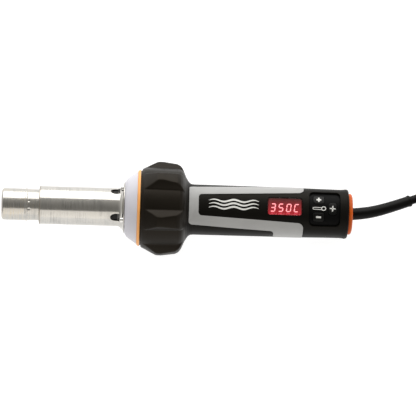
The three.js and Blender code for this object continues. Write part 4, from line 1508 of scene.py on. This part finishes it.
@dataclass
class Collar:
    """The rubber stand collar with its six lobes."""

    start: float = 138.1
    end: float = 182.6
    lobes: int = 6
    crown_half: float = 5.5  # degrees from a lobe's middle to where its flank starts
    foot_half: float = 15.0  # degrees to where its flank ends
    crest: float = 47.0
    valley: tuple[Point, ...] = (  # x and radius between the lobes
        (138.1, 38.4), (139.6, 39.4), (143.0, 40.2), (149, 40.2), (172, 39.6), (175.4, 39.4),
        (177.8, 38.0), (179.6, 35.6), (180.9, 32.8), (181.8, 30.8), (182.6, 29.6),
    )
    crown: tuple[Point, ...] = (  # x and radius at a lobe's middle
        (138.1, 38.4), (139.6, 39.4), (142.2, 40.6), (153.2, 46.6), (155.0, 46.8), (158.6, 46.8),
        (172.6, 44.6), (175.8, 42.6), (178.0, 39.6), (179.6, 36.0), (180.9, 32.8), (181.8, 30.8),
        (182.6, 29.6),
    )
    bore: tuple[Point, ...] = (  # x and radius of its inside, from the back to the front
        (182.8, 29.3), (182.6, 28.9), (179.8, 34.0), (176, 36.9), (139.4, 36.9), (136.7, 35.0),
        (136.7, 36.8), (137.9, 37.0),
    )

    def radius(self, x: float, angle: float) -> float:
        """The collar's surface: ramps, flanks and crest, each cut off by the others.

        Args:
            x: the place along the tool.
            angle: degrees from the display side.

        Returns:
            Its distance from the axis.
        """
        floor, top = along(self.valley, x), along(self.crown, x)
        period = 360 / self.lobes
        off = abs(math.fmod(angle, period) - period / 2)
        part = (self.foot_half - off) / (self.foot_half - self.crown_half)
        flank = floor + (self.crest - floor) * part
        return max(floor, min(top, flank))

    def build(self) -> None:
        """Makes the collar as one closed surface."""
        count, reach = 480, 0.45
        stations = [
            *spread(self.start + 0.1, 144, 0.35), *spread(144.4, 175, 0.6),
            *spread(175.4, self.end, 0.3),
        ]
        angles, step = [360 * i / count for i in range(count)], 360 / count
        rings: list[list[Vector]] = []
        for x in stations:
            around = (max(self.start, x - reach), x, min(self.end, x + reach))
            ring = []
            for angle in angles:
                near = [self.radius(at, angle + d) for at in around for d in (-step, 0, step)]
                ring.append(polar(x, angle, sum(near) / len(near)))
            rings.append(ring)
        rings += [[polar(x, angle, r) for angle in angles] for x, r in self.bore]
        collar = rings_object("lobed_collar", rings)
        shade(collar, 60)
        dress(collar, Skin.COLLAR.value, TOOL, ["stand_collar"])


# ---------------------------------------------------------------------------------- handle


@dataclass
class Grip:
    """The handle's surface, and plates bent onto it."""

    half_width: tuple[Point, ...] = (
        (138.3, 36.4), (176, 36.4), (181, 32.2), (184.0, 27.4), (185.4, 25.9), (187.0, 25.0),
        (189.5, 24.6), (230, 24.5), (290, 24.25), (318, 23.8), (334, 23.7), (337, 23.9),
        (339.4, 24.25), (340.6, 24.0), (341.6, 23.4), (342, 22.5),
    )
    flatten: float = 0.985  # its height as a part of its width
    power: float = 2.25  # how square its section is, 2 being an ellipse
    arc: float = 0.42  # millimetres of surface for each degree

    def radius(self, x: float, angle: float) -> float:
        """The handle's surface.

        Args:
            x: the place along the tool.
            angle: degrees from the display side.

        Returns:
            Its distance from the axis.
        """
        wide = along(self.half_width, x)
        blend = smoothstep((x - 184) / 5)
        high = wide * (1 + (self.flatten - 1) * blend)
        power = 2 + (self.power - 2) * blend
        s, c = abs(math.sin(math.radians(angle))), abs(math.cos(math.radians(angle)))
        return ((s / wide) ** power + (c / high) ** power) ** (-1 / power)

    def angle_at(self, x: float, y: float) -> float:
        """Finds where the surface has a given y.

        Args:
            x: the place along the tool.
            y: the place across the tool.

        Returns:
            Degrees from the display side.
        """
        low, high = 0.0, 90.0
        for _ in range(30):
            middle = (low + high) / 2
            if self.radius(x, middle) * math.sin(math.radians(middle)) < abs(y):
                low = middle
            else:
                high = middle
        return math.copysign(low, y)

    def bent(
        self,
        name: str,
        outline: Outline,
        low: float,
        high: float,
        edge: float = SHARP,
        holes: Sequence[Outline] = (),
        crown: float = 0.0,
        step: float = 2.0,
    ) -> bpy.types.Object:
        """A plate bent onto the handle.

        Args:
            name: the piece's name.
            outline: its outer points as x and degrees.
            low: offset of its underside from the surface.
            high: offset of its top.
            edge: radius of its edges.
            holes: the points of each hole.
            crown: how much higher the middle of its top is than its edge.
            step: size of its faces.

        Returns:
            The object.
        """
        flat = [(x, a * self.arc) for x, a in outline]
        flat_holes = [[(x, a * self.arc) for x, a in hole] for hole in holes]
        bm = bmesh.new()
        bm.from_mesh(flat_plate(name, flat, flat_holes, high - low, edge))
        bmesh.ops.remove_doubles(bm, verts=bm.verts, dist=1e-4)
        spans = [(min(at), max(at)) for at in zip(*[v.co.xy for v in bm.verts])]
        normals = (Vector((1, 0, 0)), Vector((0, 1, 0)))
        for (start, end), normal, apart in zip(spans, normals, (step * 2, step)):
            for at in spread(start, end, apart)[1:-1]:
                everything = [*bm.verts, *bm.edges, *bm.faces]
                plane = {"plane_co": normal * at, "plane_no": normal}
                bmesh.ops.bisect_plane(bm, geom=everything, dist=1e-5, **plane)
        (mid_u, half_u), (mid_v, half_v) = [((a + b) / 2, (b - a) / 2) for a, b in spans]
        for vertex in bm.verts:
            u, v, w = vertex.co
            rise = 0.0
            if crown and w > (high - low) / 2:
                rise = crown * (1 - ((u - mid_u) / half_u) ** 2) * (1 - ((v - mid_v) / half_v) ** 2)
            angle = v / self.arc
            vertex.co = polar(u, angle, self.radius(u, angle) + low + w + rise)
        return from_bmesh(bm, name)

    def outline(self, points: Outline) -> list[Point]:
        """An outline of x and y, as x and degrees on the surface."""
        return [(x, self.angle_at(x, y)) for x, y in points]


GRIP = Grip()


@dataclass
class Controls:
    """Sizes and places of the display and the keypad, in millimetres seen from above.

    The window, the keypad and each button are x, y, width, height and corner radius.
    """

    window: Pad = (278.8, 1.0, 33.8, 17.4, 2.6)
    window_low: float = 20.4  # heights over the tool's axis
    window_high: float = 21.9
    face_low: float = 16.5
    face_high: float = 19.6
    bezel_low: float = 19.75
    bezel_high: float = 20.35
    shown: str = "350C"
    sign_pitch: float = 7.65
    keypad: Pad = (318.0, 0.0, 30.8, 34.8, 4.6)
    buttons: dict[str, Pad] = field(default_factory=lambda: {
        "plus": (312.1, 9.2, 11.0, 8.8, 2.4),
        "minus": (312.1, -9.2, 11.0, 8.8, 2.4),
        "fan": (325.8, 0.0, 8.2, 12.4, 2.6),
    })
    recess: float = 2.0  # how far the mat lies under the handle's surface
    proud: float = 0.9  # how far the buttons stand out of the mat


@dataclass
class Handle:
    """The two shells, the grey frame, the display and the keypad."""

    controls: Controls = field(default_factory=Controls)
    wall: float = 2.5
    frame_start: float = 184.9
    band_start: float = 268.8
    frame_end: float = 297.0
    panel_start: float = 193.6
    frame_low: float = -0.8  # offsets of the frame from the handle's surface
    frame_high: float = 0.32
    frame_edge: float = 0.3
    pocket: float = 0.9
    gap: float = 0.22
    parting: float = 0.35  # degrees from a shell's edge to the parting line
    outside: float = 3.0  # how far the cutters stand out of the surface
    mark_low: float = -0.25  # offsets of a printed mark from the surface under it
    mark_high: float = 0.05
    mark_edge: float = 0.02
    switch_x: float = 311.5

    def build(self) -> None:
        """Makes the shells, then what is set into them."""
        self.make_shells()
        self.make_frame()
        self.make_window()
        self.make_keypad()
        self.make_motif()
        self.make_switch()

    def outer_angle(self, x: float) -> float:
        """Degrees at which the frame's arms end on their outer side."""
        return along([(self.frame_start, 46.5), (self.band_start, 61.0)], x)

    def panel_y(self, x: float) -> float:
        """Half width of the black panel between the frame's arms."""
        return along([(self.panel_start, 10.8), (self.frame_end, 15.4)], x)

    def frame_outline(self, grow: float) -> list[Point]:
        """The frame's outline.

        Args:
            grow: by how much it is grown all round.

        Returns:
            The points as x and degrees.
        """
        arc, side = GRIP.arc, 89.4
        left, right, notch = self.frame_start - grow, self.frame_end + grow, self.band_start - grow
        panel = self.panel_start + grow

        def inner(x: float) -> float:
            """The surface distance of the frame's inner edge from the middle."""
            return GRIP.angle_at(x, self.panel_y(x)) * arc - grow

        corners = [
            (left, 0.0, 0.0),
            (left, self.outer_angle(left) * arc + grow, 3.8 + grow),
            (226.0, self.outer_angle(226) * arc + grow, 60.0),
            (notch, self.outer_angle(self.band_start) * arc + grow, 4.2 - grow),
            (notch, side * arc + grow, 0.3),
            (right, side * arc + grow, 0.3),
            (right, inner(right), 5.4 + grow),
            (250.0, inner(250), 80.0),
            (panel, inner(panel), 3.8 - grow),
            (panel, 0.0, 0.0),
        ]
        half = [(x, v / arc) for x, v in rounded(corners, 7, closed=False)]
        return [*half, *[(x, -a) for x, a in reversed(half[1:-1])]]

    def band_outline(self, grow: float) -> list[Point]:
        """The lower band's outline.

        Args:
            grow: by how much it is grown all round.

        Returns:
            The points as x and degrees.
        """
        turn = grow / GRIP.arc
        low, high = 90.6 - turn, 269.4 + turn
        left, right = self.band_start - grow, self.frame_end + grow
        across = spread(low, high, 6)
        return [*[(left, a) for a in across], *[(right, a) for a in reversed(across)]]

    def half_shell(self, name: str, first: float, last: float) -> bpy.types.Object:
        """One shell, closed at its parting line.

        Args:
            name: the piece's name.
            first: degrees where it starts.
            last: degrees where it ends.

        Returns:
            The object.
        """
        start, end, end_wall, bore = 138.6, 341.9, 335.01, 18.0
        stations = [
            *spread(start, 176, 3), *spread(177, 184, 0.6), *spread(184.4, 190, 0.35),
            *spread(193, 334, 3), *spread(334.8, end, 0.35),
        ]
        angles = spread(first, last, 2.5)
        rows = [[polar(x, a, GRIP.radius(x, a)) for a in angles] for x in stations]
        rows += [[polar(x, a, bore) for a in angles] for x in (end, end_wall)]
        inside = (334.6, 190, 186, 181, 176, start)
        rows += [[polar(x, a, GRIP.radius(x, a) - self.wall) for a in angles] for x in inside]
        bm = bmesh.new()
        made = [[bm.verts.new(p) for p in row] for row in rows]
        for i in range(len(made)):
            one, two = made[i], made[(i + 1) % len(made)]
            for j in range(len(angles) - 1):
                bm.faces.new((one[j], one[j + 1], two[j + 1], two[j]))
        for side in (0, -1):
            border = [row[side] for row in made]
            edges = [bm.edges.get(pair) for pair in zip(border, [*border[1:], border[0]])]
            bmesh.ops.triangle_fill(bm, edges=edges, use_beauty=True)
        return from_bmesh(bm, name)

    def make_shells(self) -> None:
        """The upper shell with its pockets, and the lower shell with its switch hole."""
        margin, below, out = self.parting, -self.pocket, self.outside
        upper = self.half_shell("upper_housing", -90 + margin, 90 - margin)
        lower = self.half_shell("lower_housing", 90 + margin, 270 - margin)
        window, keypad = self.controls.window, self.controls.keypad
        carve(upper, [
            GRIP.bent("pocket", self.frame_outline(self.gap), below, out),
            flat_piece("hole", rectangle(*window, self.gap), 14, 30),
            GRIP.bent("well", GRIP.outline(rectangle(*keypad)), -6, out),
        ])
        dress(soften(upper, 0.35), Skin.HANDLE.value, TOOL, ["upper_shell"])
        carve(lower, [
            GRIP.bent("pocket", self.band_outline(self.gap), below, out),
            flat_piece("hole", rectangle(self.switch_x, 0, 20, 13.8, 0.6), -30, -14),
            flat_piece("seat", rectangle(self.switch_x, 0, 21.8, 15.6, 1.7), -30, -23.0),
            *[self.screw_well(x, y) for x in (214, 299) for y in (17.2, -17.2)],
        ])
        dress(soften(lower, 0.35), Skin.HANDLE.value, TOOL, ["lower_shell"])

    def screw_well(self, x: float, y: float) -> bpy.types.Object:
        """A round hole in the underside down to a shell screw."""
        return flat_piece("well", disc(x, y, 3.0), -30, -8.4)

    def make_frame(self) -> None:
        """The silver-grey frame: two arms round the panel, and the band under the handle."""
        section = (self.frame_low, self.frame_high, self.frame_edge)
        upper = GRIP.bent("grip_frame_top", self.frame_outline(0), *section)
        dress(upper, Skin.FRAME.value, TOOL, ["grip_frame_upper"])
        lower = GRIP.bent("grip_frame_base", self.band_outline(0), *section)
        dress(lower, Skin.FRAME.value, TOOL, ["grip_frame_lower"])

    def make_window(self) -> None:
        """The clear window, the face under it with its painted glow, and its digits."""
        sizes = self.controls
        x, y, width, height, corner = sizes.window
        outline = rectangle(x, y, width, height, corner, -0.1)
        window = flat_piece("clear_window", outline, sizes.window_low, sizes.window_high, 0.35)
        dress(window, Lit.WINDOW.value, TOOL, ["display_window"])
        outline = rectangle(x, y, width, height, 0.8, -0.4)
        face = flat_piece("display_face", outline, sizes.face_low, sizes.face_high, 0.1)
        dress(face, Lit.PAINTED_GLOW.value, TOOL, ["display_module"])
        outline = rectangle(x, y, width, height, corner, -0.3)
        opening = rectangle(x, y, width - 1.5, height - 1.4, 2.0)
        heights = (sizes.bezel_low, sizes.bezel_high)
        bezel = flat_piece("window_bezel", outline, *heights, 0.1, [opening])
        dress(bezel, Skin.KEYPAD.value)
        top = sizes.face_high
        for i, sign in enumerate(sizes.shown):
            along_x = x + sizes.sign_pitch * i
            digit = self.digit(f"digit_{i + 1}", sign, along_x - 11.4, y - 1.1)
            dress(digit, Lit.DIGIT.value)
            outline = rectangle(along_x - 12.0, y - 6.6, 3.4, 0.5, 0.15)
            dress(flat_piece(f"dash_{i + 1}", outline, top, top + 0.1, 0.02), Lit.DASH.value)

    def digit(self, name: str, sign: str, x: float, y: float) -> bpy.types.Object:
        """One seven-segment sign as a lit plate.

        Args:
            name: the piece's name.
            sign: which sign to light.
            x: its middle along the tool.
            y: its middle across the tool.

        Returns:
            The object.
        """
        lit = {"3": "abgcd", "5": "afgcd", "0": "abcdef", "C": "afed"}[sign]
        wide, high, bar, slant = 3.9, 7.4, 0.95, 0.13
        places = {
            "a": (0, high / 2, True), "g": (0, 0, True), "d": (0, -high / 2, True),
            "b": (wide / 2, high / 4, False), "c": (wide / 2, -high / 4, False),
            "f": (-wide / 2, high / 4, False), "e": (-wide / 2, -high / 4, False),
        }
        bm = bmesh.new()
        for segment in lit:
            u, v, level = places[segment]
            long = (wide if level else high / 2) / 2 - 0.2
            b = bar / 2
            top = [(-long, 0), (-long + b, b), (long - b, b)]
            shape = [*top, *[(-s, -t) for s, t in top]]
            corners = [(s, t) if level else (t, s) for s, t in shape]
            outline = [(x + u + s + slant * (v + t), y + v + t) for s, t in corners]
            mesh = flat_plate(name, outline, [], 0.12, 0.02)
            mesh.transform(Matrix.Translation((0, 0, self.controls.face_high)))
            bm.from_mesh(mesh)
        return from_bmesh(bm, name)

    def make_keypad(self) -> None:
        """The rubber mat in its well, the three buttons and their marks."""
        sunk, crown = -self.controls.recess, 0.18
        low, high = sunk - 2, sunk + self.controls.proud - 0.2
        holes = [GRIP.outline(rectangle(*b, 0.25)) for b in self.controls.buttons.values()]
        outline = GRIP.outline(rectangle(*self.controls.keypad, -0.15))
        mat = GRIP.bent("keypad_sheet", outline, low, sunk, 0.15, holes)
        dress(mat, Skin.KEYPAD.value, TOOL, ["keypad_mat"])
        for name, place in self.controls.buttons.items():
            outline = GRIP.outline(rectangle(*place))
            button = GRIP.bent(f"{name}_key_cap", outline, low, high, 0.45, crown=crown, step=1.0)
            dress(button, Skin.BUTTON.value, f"{name}_key", [f"{name}_button"])
        self.make_marks(sunk)

    def mark(
        self,
        name: str,
        outline: Outline,
        offset: float,
        body: str = TOOL,
        holes: Sequence[Outline] = (),
        step: float = 1.0,
    ) -> None:
        """A thin printed mark.

        Args:
            name: the piece's name.
            outline: its outer points as x and y.
            offset: offset of what it is printed on from the handle's surface.
            body: the body that it rides on.
            holes: the points of each hole.
            step: size of its faces.
        """
        low, high = offset + self.mark_low, offset + self.mark_high
        cut = [GRIP.outline(hole) for hole in holes]
        piece = GRIP.bent(name, GRIP.outline(outline), low, high, self.mark_edge, cut, step=step)
        dress(piece, Skin.MARK.value, body)

    def make_marks(self, sunk: float) -> None:
        """Plus, minus and fan marks on the buttons, and a thermometer on the mat.

        Args:
            sunk: offset of the mat's top from the handle's surface.
        """
        top = sunk + self.controls.proud
        x, y = self.controls.buttons["plus"][:2]
        arm, half = 2.35, 0.74
        corner = [(half, arm), (-half, arm), (-half, half)]
        cross = [*corner, *[(-v, u) for u, v in corner], *[(-u, -v) for u, v in corner],
                 *[(v, -u) for u, v in corner]]
        self.mark("plus_mark", [(x + u, y + v) for u, v in cross], top, "plus_key")
        x, y = self.controls.buttons["minus"][:2]
        self.mark("minus_mark", rectangle(x, y, 4.9, 1.8, 0.25), top, "minus_key")
        x, y = self.controls.buttons["fan"][:2]
        blade = [
            (0.3, 0.3), (0.8, 1.0), (1.6, 1.6), (2.7, 1.4), (2.9, 0.7), (1.9, 0.5), (1.2, -0.2),
            (0.6, -0.35),
        ]
        for i in range(4):
            turn = math.radians(90 * i - 30)
            c, s = math.cos(turn), math.sin(turn)
            swung = [(x + u * c - v * s, y + u * s + v * c) for u, v in blade]
            self.mark(f"fan_mark_{i + 1}", swung, top, "fan_key")
        bulb = 317.0
        stem, slot = (
            rounded([(left, w, r), (left, -w, r), (right, -w, 0.1), (right, w, 0.1)])
            for left, right, w, r in ((306.1, 315.3, 1.4, 1.35), (306.7, 314.7, 0.75, 0.7))
        )
        self.mark("thermometer_stem", stem, sunk, holes=[slot])
        self.mark("thermometer_bulb", disc(bulb, 0, 2.45), sunk, holes=[disc(bulb, 0, 1.6)])

    def make_motif(self) -> None:
        """Three printed waves of warm air on the panel."""
        start, end, step, waves = 204, 253, 1.2, 2.5
        for i in range(3):
            middle = 4.5 - 3.6 * i
            upper, lower = [], []
            for x in spread(start, end, step):
                sway = 1.1 * math.sin((x - start) / (end - start) * math.tau * waves)
                thick = 0.95 * math.sin(math.pi * (x - start + 1) / (end - start + 2)) ** 0.5
                upper.append((x, middle + sway + thick))
                lower.append((x, middle + sway - thick))
            self.mark(f"air_mark_{i + 1}", [*upper, *reversed(lower)], 0.0, step=step)

    def make_switch(self) -> None:
        """The switch's bezel, its hollowed rocker, and the rocker's I and O."""
        x, length, width = self.switch_x, 19.4, 13.2
        opening = rectangle(x, 0, length - 4.4, width - 3.2, 0.8)
        rim = rectangle(x, 0, length + 2, width + 2, 1.6)
        bezel = flat_piece("switch_bezel", rim, -24.95, -22.9, 0.5, [opening])
        dress(bezel, Skin.SWITCH.value)
        tilt = Matrix.Rotation(math.radians(7), 4, "Y")
        place = SPACE.matrix @ Matrix.Translation((x, 0, -21.6)) @ tilt
        half, wide, top, hollow = 7.1, 4.6, -2.8, 1.1
        dip = [(u, top + hollow * (1 - (u / half) ** 2)) for u in spread(-half, half, 1.0)]
        belly = [(6.5, 1.6, 1.2), (0, 3.2, 3.0), (-6.5, 1.6, 1.2)]
        side = rounded([*[(u, w, 0.0) for u, w in dip], *belly])
        bm = bmesh.new()
        bm.from_mesh(flat_plate("rocker", side, [], 2 * wide, 0.5))
        bm.transform(Matrix.Rotation(math.radians(90), 4, "X") @ Matrix.Translation((0, 0, -wide)))
        dress(from_bmesh(bm, "rocker_key", place), Skin.SWITCH.value, ROCKER, ["power_rocker"])
        signs = (
            ("on_mark", -4.6, rectangle(0, 0, 0.7, 3.6, 0.2), []),
            ("off_mark", 4.6, disc(0, 0, 1.8), [disc(0, 0, 1.15)]),
        )
        for name, u, outline, holes in signs:
            w = top + hollow * (1 - (u / half) ** 2)
            slope = math.atan2(2 * hollow * u / half**2, 1)
            flipped = Matrix.Rotation(slope + math.pi, 4, "Y")
            bm = bmesh.new()
            bm.from_mesh(flat_plate(name, outline, holes, 0.2, 0.03))
            printed = from_bmesh(bm, name, place @ Matrix.Translation((u, 0, w + 0.12)) @ flipped)
            dress(printed, Skin.MARK.value, ROCKER)


# ------------------------------------------------------------------------- tail and inside


@dataclass
class Tail:
    """The orange rear cap."""

    radius: float = 20.3
    bore: float = 7.4
    slots: int = 12

    def build(self) -> None:
        """Makes the domed cap with its air slots."""
        profile = rounded([
            (338.8, 17.6, 0.2), (342.35, 17.6, 0.1), (342.35, 20.1, 0.2), (344.9, self.radius, 1.6),
            (346.2, 17.8, 2.5), (346.8, 11.0, 3.5),
            (346.9, self.bore, 0.5), (345.4, self.bore, 0.3),
            (344.4, 15.6, 0.8), (338.8, 15.9, 0.2),
        ], 6)
        cap = lathe("domed_cap", profile, 144)
        apart = 360 / self.slots
        cutters = []
        for i in range(self.slots):
            spin = Matrix.Rotation(math.radians(-apart * (i + 0.5)), 4, "X")
            slot = Matrix.Translation((346, 0, 12.4)) @ Matrix.Diagonal((8, 1.9, 6, 1))
            cutters.append(box_cutter(spin @ slot))
        carve(cap, cutters)
        dress(soften(cap, 0.25), Skin.CAP.value, TOOL, ["rear_cap"])


@dataclass
class Innards:
    """The solids that stay as they are, each with its own finish."""

    finishes: tuple[tuple[Enum, tuple[str, ...]], ...] = (
        (Inside.CERAMIC, ("ceramic_core", "element_base")),
        (Inside.MICA, ("mica_sleeve",)),
        (Inside.ZINC, ("thermocouple", "motor_can", "clamp_screw_1", "clamp_screw_2")),
        (Inside.ZINC, ("shell_screw_1", "shell_screw_2", "shell_screw_3", "shell_screw_4")),
        (Inside.NATURAL, ("air_duct", "fan_impeller", "terminal_block")),
        (Skin.SWITCH, ("fan_housing", "motor_end_cap", "switch_body", "cable_clamp")),
        (Skin.COLLAR, ("motor_mount_ring",)),
        (Inside.COPPER, ("armature",)),
        (Inside.BRIGHT, ("motor_shaft", "front_bearing", "rear_bearing", "filter_mesh")),
        (Inside.EPOXY, ("carbon_brush_1", "carbon_brush_2")),
        (Inside.EPOXY, ("plus_tact_switch", "minus_tact_switch", "fan_tact_switch")),
        (Inside.BOARD, ("display_board", "control_board")),
        (Inside.ALUMINIUM, ("triac_heat_sink",)),
    )

    def build(self) -> None:
        """Puts each finish on its solids."""
        for finish, names in self.finishes:
            for name in names:
                data = frame["nodes"][name].data
                data.materials.clear()
                data.materials.append(finish.value.material())
                LOG.info("%s: %s", name, finish.value.name)


def main() -> None:
    """Builds the scene in order."""
    logging.basicConfig(level=logging.INFO, format="%(name)s %(message)s")
    bpy.context.scene.view_settings.view_transform = "Standard"
    for part in (Studio(), Lead(), Front(), Collar(), Handle(), Tail(), Innards()):
        part.build()


if __name__ == "__main__":
    main()
